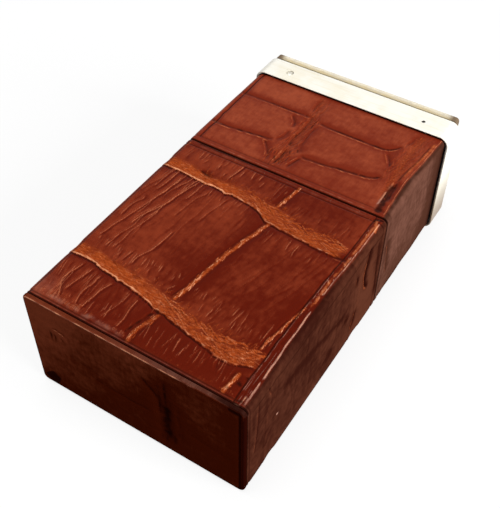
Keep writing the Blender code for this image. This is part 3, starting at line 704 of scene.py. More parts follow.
def new_material(name):
    """A material with its output and shader joined, and its tree."""
    material = bpy.data.materials.new(name)
    material.use_nodes = True
    tree = material.node_tree
    tree.nodes.clear()
    shader = node(tree, "ShaderNodeBsdfPrincipled")
    node(tree, "ShaderNodeOutputMaterial", {"Surface": shader.outputs[0]})
    return material, tree, shader


def object_places(tree):
    """Places on the piece, in metres."""
    return node(tree, "ShaderNodeTexCoord").outputs["Object"]


def attribute(tree, label, output="Fac"):
    """Values at the points of the mesh."""
    return node(tree, "ShaderNodeAttribute", attribute_name=label).outputs[output]


def drawn_out(tree, places, *scales):
    """Places scaled along each axis, for patterns that are longer one way."""
    return node(tree, "ShaderNodeMapping", {"Vector": places, "Scale": scales}).outputs[0]


def noise(tree, places, scale, detail, distortion=0.0):
    """Soft noise from 0 to 1."""
    inputs = {"Vector": places, "Scale": scale, "Detail": detail, "Distortion": distortion}
    return node(tree, "ShaderNodeTexNoise", inputs).outputs[0]


def cells(tree, places, scale):
    """How far places are from the middle of the nearest cell."""
    return node(tree, "ShaderNodeTexVoronoi", {"Vector": places, "Scale": scale}).outputs["Distance"]


def calculate(tree, operation, *terms):
    """One step of arithmetic with values or sockets."""
    return node(tree, "ShaderNodeMath", dict(enumerate(terms)), operation=operation).outputs[0]


def times(tree, value, amount):
    return calculate(tree, "MULTIPLY", value, amount)


def total(tree, *terms):
    """The sum of two or more values."""
    reached = terms[0]
    for term in terms[1:]:
        reached = calculate(tree, "ADD", reached, term)
    return reached


def swing(tree, value, amount):
    """A value from 0 to 1, as a swing about nothing."""
    return times(tree, calculate(tree, "SUBTRACT", value, 0.5), amount)


def stretch(tree, value, low, high, to_low=0.0, to_high=1.0):
    """A value's range moved to another, with soft ends."""
    made = node(tree, "ShaderNodeMapRange", {0: value, 1: low, 2: high, 3: to_low, 4: to_high},
                interpolation_type="SMOOTHSTEP")
    return made.outputs[0]


def gather(tree, *parts):
    """The sum of patterns, each with its low and its high end and its share."""
    return total(tree, *(times(tree, stretch(tree, *ends), share) for *ends, share in parts))


def blend(tree, share, first, second):
    """Two colours mixed by a share."""
    return node(tree, "ShaderNodeMix", {0: share, 6: first, 7: second}, data_type="RGBA").outputs[2]


def relief(tree, height, depth, strength, invert=False):
    """A fine relief for light to catch, its depth in millimetres."""
    inputs = {"Height": height, "Distance": depth * MM, "Strength": strength}
    return node(tree, "ShaderNodeBump", inputs, invert=invert).outputs[0]


def glazed_hide(name, settings, tiles, sides):
    """Crocodile hide, tanned, dyed and glazed with a hard polish: deep brown tiles with a low shine, open
    rusty fibres where the dye has rubbed off the folds, near black in every crease, dry pale scuffs at the
    edges, and painted shade, shadows and highlights in the same colours. Tiles and sides are each a deepest
    and a lightest colour, for the upper face and for the others; the others' colours paint shade and a grey
    sheen on them."""
    material, tree, shader = new_material(name)
    place = attribute(tree, "place", "Vector")
    layer = {label: attribute(tree, label) for label in ("worn", "pale", "dark", "dust", "tone", "unfaded")}
    # Patches 9 mm across, clouds of 1.6 mm, and a grain of 0.2 mm, which is as coarse as it needs to show
    patches = noise(tree, place, 0.11, 3.0)
    clouds = noise(tree, place, 0.62, 5.0)
    grain = noise(tree, place, 5.0, 3.0)
    # Growth lines 0.6 mm apart and 3 mm long on the tiles, fibres 0.3 mm wide that cross in the bands, and
    # pores 0.5 mm apart
    growth = noise(tree, drawn_out(tree, place, 1.7, 0.3, 1.0), 1.0, 4.0)
    fibres = noise(tree, drawn_out(tree, place, 0.8, 3.0, 1.0), 1.0, 4.0)
    pores = cells(tree, place, 1.9)
    # The dye, from its deepest to its lightest
    dyed = total(tree, layer["tone"], swing(tree, patches, 0.9), swing(tree, clouds, 0.8),
                 swing(tree, growth, 0.4), swing(tree, grain, 0.25))
    # Faces marked for the side colours take painted shade and a painted grey sheen
    deepest, lightest = (blend(tree, layer["unfaded"], *pair) for pair in zip(tiles, sides))
    colour = blend(tree, stretch(tree, dyed, 0.0, 1.0), deepest, lightest)
    dull = stretch(tree, total(tree, clouds, swing(tree, grain, 0.5)), 0.3, 0.7, 0.35, 1.0)
    colour = blend(tree, times(tree, layer["dust"], dull), colour, settings.dust)
    # Open fibres where it is worn, with darker places and pale crests
    worn = total(tree, layer["worn"], swing(tree, grain, 0.3), swing(tree, fibres, 0.3))
    worn = stretch(tree, worn, 0.12, 0.9)
    fibre = stretch(tree, total(tree, fibres, swing(tree, clouds, 0.5)), 0.32, 0.6)
    fibre = blend(tree, fibre, blend(tree, 0.6, deepest, settings.valley), settings.valley)
    crest = stretch(tree, total(tree, fibres, swing(tree, grain, 0.5)), 0.52, 0.8)
    fibre = blend(tree, times(tree, crest, 0.3), fibre, settings.crest)
    colour = blend(tree, worn, colour, fibre)
    pale = stretch(tree, total(tree, layer["pale"], swing(tree, grain, 0.3)), 0.12, 0.75)
    rubbed = blend(tree, stretch(tree, layer["worn"], 0.2, 0.6), settings.scuff, settings.crest)
    colour = blend(tree, pale, colour, rubbed)
    # The dark layer gives dark dye and painted shadows and shade alike
    dark = stretch(tree, total(tree, layer["dark"], swing(tree, clouds, 0.3)), 0.1, 0.95)
    colour = blend(tree, times(tree, dark, 0.9), colour, settings.burnish_and_painted_shade)
    rough = total(tree, 0.4, times(tree, worn, 0.14), times(tree, pale, 0.14), swing(tree, clouds, 0.2))
    height = total(tree, times(tree, grain, 0.5), times(tree, clouds, 1.2),
                   times(tree, stretch(tree, pores, 0.0, 0.25), 0.12), times(tree, growth, 0.4),
                   times(tree, times(tree, fibres, worn), 2.0))
    # The sides are handled most, and their glaze is duller
    shine = stretch(tree, layer["unfaded"], 0.0, 1.0, 0.06, 0.0)
    feed(tree, shader, {
        "Base Color": colour, "Roughness": rough, "Normal": relief(tree, height, 0.05, 0.8), "IOR": 1.5,
        "Specular IOR Level": shine, "Specular Tint": settings.gloss,
    })
    return material


def polished_bone(settings):
    """Bone, sawn, filed and polished: cream, with faint growth lines along the shaft, small dark pores and a
    soft gloss."""
    material, tree, shader = new_material("bone_polished")
    places = object_places(tree)
    # Growth lines 0.4 mm apart and 9 mm long, clouds of 6 mm, and pores 0.3 mm apart and 1.1 mm long
    streaks = noise(tree, drawn_out(tree, places, 110, 2500, 2500), 1.0, 4.0)
    cloud = noise(tree, places, 160.0, 3.0)
    pores = cells(tree, drawn_out(tree, places, 900, 3600, 3600), 1.0)
    shade = gather(tree, (streaks, 0.45, 0.75, 0.35), (cloud, 0.45, 0.75, 0.45))
    # The ring is darker and warmer towards its foot: painted shade on its lower part, first in the growth
    # lines' colour and then in a darker foot colour
    parts = node(tree, "ShaderNodeSeparateXYZ", {"Vector": places}).outputs
    handled = total(tree, parts["Z"], times(tree, cloud, 4 * MM))
    handled = stretch(tree, handled, 25 * MM, 4 * MM)
    shade = total(tree, shade, times(tree, handled, 0.9))
    colour = blend(tree, shade, settings.bone, settings.bone_shade)
    colour = blend(tree, calculate(tree, "POWER", handled, 2.0), colour, settings.bone_foot_painted_shade)
    colour = blend(tree, stretch(tree, pores, 0.02, 0.12, 0.35, 0.0), colour, settings.bone_pore)
    # The rebate that holds the hide is painted near black: painted shade in the recess
    away = []
    for part, middle, straight in zip((parts["X"], parts["Z"]), (0.0, REBATE_MIDDLE), REBATE_STRAIGHT):
        past = calculate(tree, "ABSOLUTE", calculate(tree, "SUBTRACT", part, middle * MM))
        past = calculate(tree, "MAXIMUM", calculate(tree, "SUBTRACT", past, straight * MM), 0.0)
        away.append(calculate(tree, "POWER", past, 2.0))
    within = calculate(tree, "LESS_THAN", total(tree, *away), (REBATE_CORNER * MM) ** 2)
    colour = blend(tree, within, colour, settings.rebate_painted_shade)
    feed(tree, shader, {
        "Base Color": colour, "Roughness": stretch(tree, cloud, 0.3, 0.7, 0.3, 0.42),
        "Normal": relief(tree, streaks, 0.015, 0.6), "IOR": 1.54, "Specular IOR Level": 0.45,
    })
    return material


def drawn_nickel_silver(name, settings, tarnish):
    """Nickel silver pins, headed and filed: grey metal, brighter where rubbed, dirt and tarnish round the
    head. At full tarnish the metal is dark all over, which paints the shade in a sunk pin's hole."""
    material, tree, shader = new_material(name)
    # Tarnish in spots of 0.4 mm
    spots = noise(tree, object_places(tree), 2500.0, 3.0)
    share = stretch(tree, spots, 0.35, 0.7, tarnish * 0.5, min(tarnish + 0.25, 1))
    feed(tree, shader, {
        "Base Color": blend(tree, share, settings.pin_metal, settings.pin_tarnish),
        "Metallic": calculate(tree, "SUBTRACT", 1.0, share),
        "Roughness": stretch(tree, spots, 0.3, 0.7, 0.3, 0.5), "Normal": relief(tree, spots, 0.01, 0.5),
    })
    return material


def buffed_suede(settings):
    """Sheepskin suede, buffed: dull buff with a short nap that lies in patches, and dirt at the corners."""
    material, tree, shader = new_material("sheepskin_suede_buffed")
    places = object_places(tree)
    # Nap fibres of 0.2 mm, lying in patches of 2 mm
    nap = noise(tree, places, 5200.0, 3.0)
    lay = noise(tree, places, 480.0, 3.0)
    dirt = times(tree, calculate(tree, "SUBTRACT", lay, 0.45), 0.8)
    dirt = stretch(tree, total(tree, attribute(tree, "soil"), dirt), 0.1, 0.9)
    # The pad is darker where it meets the collar and lighter away from there
    along = node(tree, "ShaderNodeSeparateXYZ", {"Vector": places}).outputs["Y"]
    share = total(tree, stretch(tree, along, 45.8 * MM, 47.1 * MM), swing(tree, lay, 1.8))
    light = blend(tree, share, settings.suede, settings.suede_light)
    light = blend(tree, gather(tree, (nap, 0.45, 0.7, 0.3)), light, settings.suede)
    feed(tree, shader, {
        "Base Color": blend(tree, dirt, light, settings.suede_soil), "Roughness": 0.95,
        "Normal": relief(tree, total(tree, nap, lay), 0.12, 1.0), "Specular IOR Level": 0.15,
        "Sheen Weight": 0.12, "Sheen Roughness": 0.5,
    })
    return material


def woven_velvet(settings):
    """Cotton velvet, woven and cut: deep wine pile, lighter at the grazing edge, shaded where it is
    pressed."""
    material, tree, shader = new_material("cotton_velvet_woven")
    places = object_places(tree)
    # Pile tufts of 0.25 mm and pressed places of 3 mm
    pile = cells(tree, places, 4000.0)
    pressed = noise(tree, places, 330.0, 3.0)
    share = gather(tree, (pile, 0.1, 0.8, 0.6), (pressed, 0.4, 0.7, 0.4))
    feed(tree, shader, {
        "Base Color": blend(tree, share, settings.velvet, settings.velvet_shade), "Roughness": 0.9,
        "Normal": relief(tree, pile, 0.1, 0.8, invert=True), "Specular IOR Level": 0.1,
        "Sheen Weight": 0.8, "Sheen Roughness": 0.35, "Sheen Tint": settings.velvet,
    })
    return material


def planed_cedar(name, early, late, gloss, along_x):
    """Cedar, planed: warm brown with straight grain, darker late wood, short pores, and a slight sheen where
    it is waxed."""
    material, tree, shader = new_material(name)
    places = object_places(tree)

    def along_grain(length, width):
        return drawn_out(tree, places, *((length, width, width) if along_x else (width, length, width)))

    # Growth rings 2.4 mm apart, and fibres 0.24 mm wide and 6 mm long
    ring = noise(tree, along_grain(25, 420), 1.0, 2.0, 0.4)
    fibre = noise(tree, along_grain(170, 4200), 1.0, 3.0)
    share = gather(tree, (ring, 0.4, 0.62, 0.7), (fibre, 0.35, 0.7, 0.3))
    feed(tree, shader, {
        "Base Color": blend(tree, share, early, late), "Normal": relief(tree, fibre, 0.03, 0.7),
        "Roughness": stretch(tree, fibre, 0.3, 0.7, gloss, gloss + 0.12),
    })
    return material


def pasted_paper(settings):
    """Laid paper, pasted down: buff, dull, with short fibres and slight darkening where the paste came
    through."""
    material, tree, shader = new_material("laid_paper_pasted")
    places = object_places(tree)
    # Fibres 1.1 mm long and 0.3 mm wide, and paste marks of 7 mm
    fibre = noise(tree, drawn_out(tree, places, 3500, 900, 3500), 1.0, 4.0)
    paste = noise(tree, places, 140.0, 4.0)
    share = gather(tree, (fibre, 0.4, 0.7, 0.35), (paste, 0.45, 0.7, 0.6))
    feed(tree, shader, {
        "Base Color": blend(tree, share, settings.paper, settings.paper_shade), "Roughness": 0.85,
        "Normal": relief(tree, fibre, 0.02, 0.7), "Specular IOR Level": 0.25,
    })
    return material


def finish_piece(piece, material, body, slot, *nodes):
    """Give a piece its material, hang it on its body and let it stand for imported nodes."""
    piece.data.materials.clear()
    piece.data.materials.append(material)
    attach(piece, body)
    if nodes:
        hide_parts(*nodes)
    return piece


# Marks of the lid's hide, as (u, v) in mm: u from the left edge over the top and down the right side, v from
# the closed end, which is this far from the mouth
LID_LENGTH = 55.2
# Bands of open fibres: lower edge, upper edge
LID_BANDS = (
    (
        ((-51, 12), (-36, 12.6), (-25, 13.6), (-12, 14), (0, 13.6), (2.5, 13.8), (5, 13.9), (7, 13.6),
         (9, 13.2), (12, 12.9), (13.2, 12.5), (14, 12.6), (16, 12.4), (18, 12.1), (20, 11.6), (22, 11.1),
         (23.3, 10.5), (24, 10.6), (25.5, 10.5), (27, 10.1), (30, 9.5), (34, 8.7), (36, 8.4), (38.3, 7.9),
         (39.5, 7.6), (41, 7.6), (43, 8.0), (45, 8.8), (47, 9.2), (50, 8.8), (60, 7.6), (75, 7), (88, 6.6),
         (101, 6.4)),
        ((-51, 15.4), (-36, 16), (-25, 17), (-12, 17.2), (0, 17), (5, 17), (7, 16.8), (9, 16.3), (11, 15.9),
         (16, 16), (18, 15.8), (20, 15.3), (22, 14.8), (25, 14), (27, 13.7), (30, 13.1), (33, 12.8),
         (36, 12.5), (44, 12.6), (48, 12.8), (52, 12.4), (60, 11.2), (75, 10.6), (88, 10), (101, 9.8)),
    ),
    (
        ((-51, 42), (-25, 43.2), (-12, 44), (0, 44.8), (3, 44.8), (5, 44.9), (7, 44.7), (9, 44.6),
         (12, 44.4), (13.5, 44.6), (16, 44.4), (17.3, 44), (18.5, 44.6), (20, 44.4), (22, 44.1), (24, 43.8),
         (25.5, 43.4), (26.5, 42.9), (27.5, 42.2), (28.6, 41.4), (30.8, 41.4), (32, 41.2), (36, 40.9),
         (38, 40.7), (40, 40.5), (44, 40.3), (46, 40.5), (50, 40.8), (56, 43.5), (64, 44.5), (75, 42.4),
         (88, 42), (101, 42)),
        ((-51, 46.4), (-25, 47.6), (-12, 48), (0, 48.2), (4, 48.4), (6.5, 48.2), (8, 47.6), (12, 47.1),
         (14, 47.3), (16, 47.6), (18, 47.7), (20, 47.3), (22, 47.3), (24, 46.8), (28, 46.6), (30, 46.3),
         (32, 45.8), (34, 45), (37, 44.8), (44, 44.5), (47.5, 44), (50, 44.4), (56, 47.6), (62, 48.6),
         (75, 46.8), (88, 46.4), (101, 46.4)),
    ),
)
# Lighter and darker places: u, v, reach across, reach along, tone
LID_CLOUDS = (
    (8, 24, 7, 9, 0.08), (20, 36, 5, 8, 0.1), (17, 26, 4, 6, -0.18), (37, 22, 13, 9, -0.3),
    (37, 34, 10, 6, -0.08), (36, 28, 4, 4, 0.12), (46, 24, 3, 14, -0.2), (10, 6, 14, 4, -0.25),
    (34, 5, 12, 4, -0.7), (18, 6, 6, 4, -0.14), (10, 51, 8, 3, 0.2), (22, 52, 6, 3, -0.1),
    (38, 50, 10, 4, -0.3), (25, 54, 30, 1.2, -0.25), (60, 25, 12, 30, -0.1), (64, 48, 14, 7, 0.55),
)
# Open seams: points, width, how bright
LID_SEAMS = (
    (((25, 14.2), (25.3, 16), (25.6, 18), (25.9, 20), (26.1, 22), (26.3, 24), (26.6, 26), (26.9, 28),
      (27.2, 30), (27.6, 32), (28, 34), (28.5, 36), (29, 38), (29.4, 40), (29.7, 41.8)), 1.25, 1.0),
    (((24.9, 10.4), (24.6, 8.6), (24, 6.6), (23.5, 4.6), (23.4, 3), (23.9, 1.4)), 1.3, 0.75),
    (((28.6, 46.4), (28.9, 48.5), (29.2, 50), (29.5, 52), (29.8, 54.4)), 1.05, 1.0),
    (((44.3, 1.6), (44.2, 3), (44.4, 5), (44.7, 7.2)), 1.1, 1.05),
    (((44.9, 12.8), (45.2, 15.5), (45.6, 17.8), (46.1, 21), (46.6, 23.8), (47.2, 26.2)), 0.65, 0.9),
)
# Fainter seams on the other sides
LID_OTHER_SEAMS = (
    ((-12, 0), (-12.5, 6), (-12, 13)), ((-14, 17), (-13, 30), (-12, 44)), ((-11, 48), (-11, 55)),
    ((-38, 0), (-38, 12)), ((-37, 16), (-38, 42)), ((-38, 46), (-37, 55)), ((88, 0), (88, 7)),
    ((87, 10), (88, 42)), ((88, 46), (88, 55)),
)
# Long wrinkles: points, strength
LID_WRINKLES = (
    (((2.4, 19.5), (2.8, 22), (3.2, 24.5), (3.8, 26.5), (4.3, 29), (4.9, 32), (5.4, 35), (6.1, 37.5),
      (6.4, 40), (6.6, 44)), 0.95),
    (((5.8, 25.6), (6.1, 28.4), (7, 31), (8, 33.5), (8.8, 36), (9.1, 38), (9.7, 40.5), (10.3, 43),
      (10.6, 44.3)), 1),
    (((7, 29.4), (7.6, 28.2), (8, 26), (8.2, 24), (8.5, 22.4)), 0.6),
    (((14.5, 29.5), (14.4, 26), (14.2, 24), (13.7, 22), (13, 20.3), (12.7, 19), (12.8, 16.6)), 1),
    (((11.2, 21), (10.9, 19.5), (10.6, 18), (10.5, 16.3)), 0.9),
    (((9.3, 19.5), (9, 18), (8.7, 16.8)), 0.8),
    (((5.9, 23.5), (5.7, 21), (5.6, 19.5), (5, 17.5)), 0.8),
    (((16.8, 19.2), (16.6, 17.8), (17.1, 16.3)), 0.8),
    (((18.5, 17.6), (19.2, 16.4), (19.6, 15.4)), 0.9),
    (((24, 18), (23.2, 17), (22.6, 16), (22.4, 15)), 1),
    (((14, 18.8), (14.1, 17.4), (14.1, 16.4)), 0.6),
    (((21, 17.5), (21.1, 15.5)), 0.6),
    (((19.8, 20.5), (19.9, 18)), 0.35),
    (((3.2, 35), (3.5, 33.6), (3, 32.6), (2.6, 31), (2.4, 29), (2.6, 26.5)), 0.9),
    (((4.7, 44), (4.8, 41), (4.5, 39), (4.2, 37)), 0.55),
    (((14, 43), (13.7, 41.5), (13, 40), (12.6, 38), (12.2, 35), (11.8, 32)), 0.8),
    (((14.5, 43), (14.3, 41.3)), 0.7),
    (((17, 43.5), (17.3, 41.5), (17.6, 40.5)), 0.7),
    (((18.5, 43), (18.2, 41), (17.8, 39), (17.3, 36), (17, 33.5)), 0.75),
    (((23.8, 43), (23.9, 40), (24, 36)), 0.4),
    (((24.8, 42.5), (25, 39.5), (25.3, 37)), 0.35),
    (((7.2, 49.2), (7.8, 50.5), (8.1, 52)), 0.95),
    (((7.2, 54), (6.6, 51.5), (6, 50)), 0.5),
    (((9.5, 48), (9.2, 50), (9.3, 51.5)), 0.5),
    (((11.6, 52.5), (11.3, 50.5), (11.1, 48.2)), 0.65),
    (((13.9, 50.3), (13.7, 49), (13.4, 47.8)), 1),
    (((16, 54.5), (15.9, 53), (15.6, 51), (15.3, 49), (15, 47.5)), 1.1),
    (((20, 53.8), (19.8, 51.5), (20, 50.2)), 0.45),
    (((26.5, 54.5), (26.3, 51), (26.2, 48)), 0.7),
    (((27.6, 54), (27.3, 50), (27.2, 47.5)), 0.55),
    (((34, 49), (33.5, 47.5), (33.2, 46)), 0.5),
    (((36.5, 48), (36.8, 46.2)), 0.5),
    (((44.8, 48.5), (44.9, 46)), 0.45),
    (((46.9, 49.5), (46.4, 47.2)), 0.55),
    (((44.3, 39), (43.7, 36), (43, 33.5), (42.3, 31)), 0.4),
    (((36.2, 35), (36.1, 33)), 0.4),
    (((39.8, 38.5), (39.3, 36)), 0.35),
    (((5, 13.2), (4.7, 11), (4.2, 9), (4.1, 7.5), (4.4, 6.6), (5, 5.6), (5.7, 4.3), (6.4, 2.8)), 1),
    (((4.2, 7.4), (4.3, 5.5), (4, 3.4)), 0.8),
    (((7.4, 13), (7.1, 11), (6.8, 9.5), (6.6, 8), (6.4, 6.5), (6.1, 5)), 0.95),
    (((8.5, 10.5), (8.3, 9), (8, 7.2)), 0.6),
    (((9.9, 12.5), (9.7, 10.6), (9.9, 9.5), (9.5, 7.8), (9.4, 6), (9.8, 4.3), (10.3, 3)), 0.95),
    (((7.6, 5.7), (8, 4.5), (8.5, 3.5)), 0.8),
    (((13.3, 12), (12.7, 10.5), (12.1, 9), (11.9, 7), (11.8, 5), (11.7, 2.8)), 1),
    (((17.3, 12), (17.3, 10), (17, 7.5), (16.4, 5), (15.9, 3.3)), 0.8),
    (((19.5, 11.5), (19.5, 10), (19.6, 8), (20, 6), (20, 4), (19.8, 2.6)), 0.95),
    (((30.4, 9.2), (30.2, 7), (29.8, 5), (29.6, 3.5)), 0.75),
    (((33.5, 8.5), (33.4, 6.5), (33.2, 5), (32.9, 3)), 0.65),
    (((35.7, 8.5), (35.5, 6.5), (35, 4)), 0.6),
    (((38, 8), (37.7, 5), (37.8, 3)), 0.5),
    (((41, 6.2), (41.3, 4.4)), 0.6),
)
# Parts of the lid with fine wrinkles that chance draws: range of u, range of v, spacing, strength, slant
LID_FINE_WRINKLES = (
    ((0.6, 12), (18, 46), 0.95, 0.7, 0.15), ((12, 24), (18, 44), 1.3, 0.5, 0.08),
    ((0.6, 11), (24, 46), 1.1, 0.7, 0.17), ((3, 24), (16, 21), 0.7, 0.8, -0.08),
    ((6, 24), (38, 44.5), 0.9, 0.6, 0.04), ((0.8, 24), (2, 12.5), 0.6, 0.6, -0.14),
    ((2, 20), (2.2, 7), 1.1, 0.5, -0.1), ((24.5, 44), (2, 8.5), 0.75, 0.65, -0.12),
    ((2, 28), (48.2, 54), 0.95, 0.75, 0.05), ((26.5, 46), (13.2, 20), 0.7, 0.7, 0.0),
    ((32, 46), (13, 17), 0.9, 0.7, 0.1), ((29, 46), (34, 40.5), 0.9, 0.6, 0.04),
    ((30, 46), (44.5, 50), 1.2, 0.5, 0.04), ((25, 45), (14, 40), 0.9, 0.42, 0.26),
    ((28, 46), (14, 30), 1.0, 0.36, 0.32), ((51, 75), (3, 52), 3.0, 0.2, 0.0),
    ((-25, -1), (3, 52), 1.6, 0.4, 0.0), ((-50, -27), (3, 52), 2.6, 0.3, 0.0),
    ((77, 100), (3, 52), 2.6, 0.3, 0.0),
)
# The rubbed ridge along the lid's right fold, as (v, u)
LID_RIDGE = (
    (1.2, 48.8), (3, 48.8), (7.5, 48.8), (12, 48.6), (16, 48.5), (21, 48.4), (26, 48.4), (30, 48.4),
    (34, 48.45), (39, 48.7), (44, 48.8), (54, 49.0),
)
# Sunk dark creases on the lid: points, strength, width
LID_CREASES = (
    (((39.7, 7.8), (40.2, 6.6), (40.8, 5)), 0.7, 0.25),
    (((44.6, 40.4), (46.4, 40.7), (48.8, 40.6)), 1.0, 0.32),
    (((8.2, 47.5), (9.6, 47.3), (11, 47), (12.3, 46.6)), 1.3, 0.24),
    (((12.7, 12.6), (13.3, 12.1)), 1, 0.2),
)
# Marks of the lid's right side, as (place from the closed end, height)
LID_SIDE_CREASES = (
    (((48.4, 25.4), (48, 22), (47.6, 18), (48, 15), (48.6, 13), (50, 11.6)), 1.1, 0.42),
    (((43, 21.5), (43.4, 19.4), (43.8, 17.6)), 0.6, 0.3),
    (((44.8, 10), (44.2, 7), (43.2, 3.4)), 0.8, 0.4),
    (((13, 18.5), (20, 17.4), (28, 15.8), (35, 14), (40, 12.8)), 0.35, 0.5),
    (((38.6, 11), (40, 10.4), (41.4, 9.4)), 0.6, 0.5),
    (((33.6, 8.4), (33, 6), (33.2, 4.6)), 0.45, 0.6),
    (((52.4, 24), (53, 16), (53.8, 10), (54.4, 5)), 0.5, 0.25),
)
LID_SIDE_WRINKLES = (
    (((46.6, 22), (45.8, 16), (44.6, 11), (43.6, 6)), 0.55),
    (((7.4, 25.8), (8.4, 23.4), (9.5, 21)), 0.7),
    (((4.6, 25), (4.1, 17), (3.2, 9)), 0.6),
    (((50.2, 20), (49.8, 16), (50.6, 12.5)), 0.4),
)

# Marks of the cup's hide, laid out as the lid's, with v from the mouth: creases first
CUP_CREASES = (
    (((0, 8.2), (4, 8.1), (6, 8.2), (8, 8.5), (10, 8.8), (12, 9.1), (14, 9.2), (15.5, 9.3), (16.6, 9.8)),
      0.9, 0.26),
    (((14.6, 8.8), (16, 7.3), (17, 6), (18, 4.5), (18.4, 2.6)), 0.75, 0.3),
    (((0, 21), (5, 21), (9, 21.2), (13, 21.2), (16, 21.2), (18, 21.3), (20, 21.3)), 0.85, 0.26),
    (((15.6, 20.2), (16.7, 18.7), (17.7, 17.2), (18, 15.4)), 0.75, 0.26),
    (((18.6, 29), (18.7, 26), (19.1, 23)), 0.45, 0.35),
    (((19.4, 22.4), (20.2, 20.5), (20.3, 17), (20.3, 14), (20.1, 11), (20.6, 9)), 0.6, 0.3),
    (((20.7, 8.4), (20.8, 5), (20.6, 2.2)), 0.85, 0.3),
    (((17.9, 15), (18, 12.6), (17.4, 10.6), (16.4, 9.6)), 0.5, 0.35),
    (((22.6, 7.7), (23.4, 7.8)), 0.9, 0.3),
    (((24.4, 8.6), (25.3, 7.8), (28, 8), (31, 8.3), (34, 8.9), (37, 9.2), (39.5, 9.5), (41.4, 10.2),
      (43, 11.4)), 0.95, 0.3),
    (((25.4, 7.6), (24.5, 6), (24, 4), (23.8, 2.5)), 0.7, 0.3),
    (((22, 20.5), (25, 20.2), (28, 20.1), (32, 20.1), (36, 20), (39.5, 20.3), (41, 21.2), (42.6, 23.2)),
      0.95, 0.26),
    (((40, 19.4), (41.3, 18), (42.3, 16.5), (43, 14.8)), 0.75, 0.26),
    (((22.8, 19.4), (22.4, 16), (22.6, 13), (23.2, 10.4), (24.3, 8.5)), 0.5, 0.35),
    (((42.8, 23.4), (43.6, 26), (43.8, 29)), 0.35, 0.4),
    (((46.5, 12), (46.8, 8.6), (47.2, 5)), 1.0, 0.3),
)
# Lighter and darker places, as on the lid
CUP_CLOUDS = (
    (9, 14, 6, 4, 0.12), (9, 25, 7, 3, 0.2), (33, 14, 7, 4, -0.1), (33, 4, 9, 3, -0.25),
    (33, 25, 8, 3, -0.05), (8, 4, 7, 2, 0.0), (20, 6, 1.8, 5, -0.15), (20.4, 17, 2.2, 5, 0.05),
    (45, 17, 2, 7, -0.25), (25, 30, 30, 0.9, -0.4), (25, 1, 30, 1.2, -0.35), (60, 12, 6, 7, 0.1),
    (64, 29, 14, 4.5, -1.1), (74, 14, 4, 20, -0.3),
)
# The rubbed ridge along the cup's right fold, as (v, u)
CUP_RIDGE = ((0, 48.5), (4.8, 48.2), (9, 47.95), (12.6, 47.9), (20, 48.4), (27.7, 48.8), (31, 49.0))
CUP_WRINKLES = (
    (((21.4, 14.6), (22, 13), (22.6, 11.4)), 0.35),
    (((18.6, 20), (18.8, 17.4), (18.6, 15)), 0.3),
    (((21.5, 26), (21.2, 24)), 0.25),
    (((45, 24), (45.2, 20), (44.8, 16)), 0.4),
    (((19.4, 12), (19.2, 9)), 0.35),
    (((44, 19), (45.4, 15), (46, 12)), 0.4),
)
CUP_SIDE_CREASES = (
    (((2.5, 19.4), (3.4, 12), (4.4, 7)), 0.7, 0.25),
    (((24.6, 15), (27, 13.4), (29.4, 11)), 0.4, 0.5),
)

# Marks of the end panel, from its left edge and its lower edge
END_CREASES = (
    (((32.7, 24), (32.6, 17), (32.5, 12), (32.5, 9), (32.4, 5), (31.4, 1)), 0.9, 0.55),
    (((27, 21.6), (28.5, 19.6), (29.8, 18), (30.8, 16), (31, 13), (30.8, 10)), 0.9, 0.5),
    (((30.2, 8.2), (31, 6), (31.4, 2)), 0.5, 0.45),
    (((35.6, 18), (35.3, 13), (35.9, 10), (35.9, 7), (35.4, 4.6)), 0.45, 0.4),
    (((33.8, 19), (33.5, 12), (33.7, 3)), 0.5, 0.4),
    (((31.7, 15), (31.9, 9), (31.2, 2.4)), 0.8, 0.7),
    (((14, 11), (18, 10.5), (24, 10.3), (29.6, 10.8)), 0.55, 0.45),
    (((8, 14.4), (14, 13.2), (21, 13)), 0.35, 0.5),
    (((36, 10.4), (41, 9.6), (48, 9)), 0.3, 0.5),
    (((5.2, 20.2), (5.5, 18), (5.6, 15.6)), 0.9, 0.35),
    (((31, 22.5), (31.4, 14), (31.4, 8), (31, 1)), 0.55, 1.6),
)
END_WRINKLES = (
    (((5.8, 20.3), (7.2, 20.6), (8.6, 20.1), (9.6, 19.4)), 1.5),
    (((6.1, 19.8), (6.3, 18), (6.2, 16.4)), 1.3),
    (((7.4, 19.2), (8.2, 18.2), (8.9, 17.4)), 1.1),
)


def random_wrinkles(sheet, rng, u_range, v_range, spacing, strength, slant=0.0):
    """Wrinkles that run along the box over part of a sheet."""
    u = u_range[0] + spacing * rng.uniform(0.3, 1)
    while u < u_range[1]:
        start = rng.uniform(v_range[0], v_range[1] - 2)
        end = min(start + rng.uniform(2.5, 0.85 * (v_range[1] - v_range[0]) + 2.5), v_range[1])
        v = np.linspace(start, end, 6)
        sway = rng.uniform(0.1, 0.35) * np.sin(v / rng.uniform(1.2, 2.6) + rng.uniform(0, 6))
        sheet.wrinkle(np.stack((u + sway + (slant + rng.normal(0, 0.03)) * (v - start), v), -1),
                      strength * rng.uniform(0.35, 1), 0.14, 1.5)
        u += spacing * rng.uniform(0.6, 1.4)


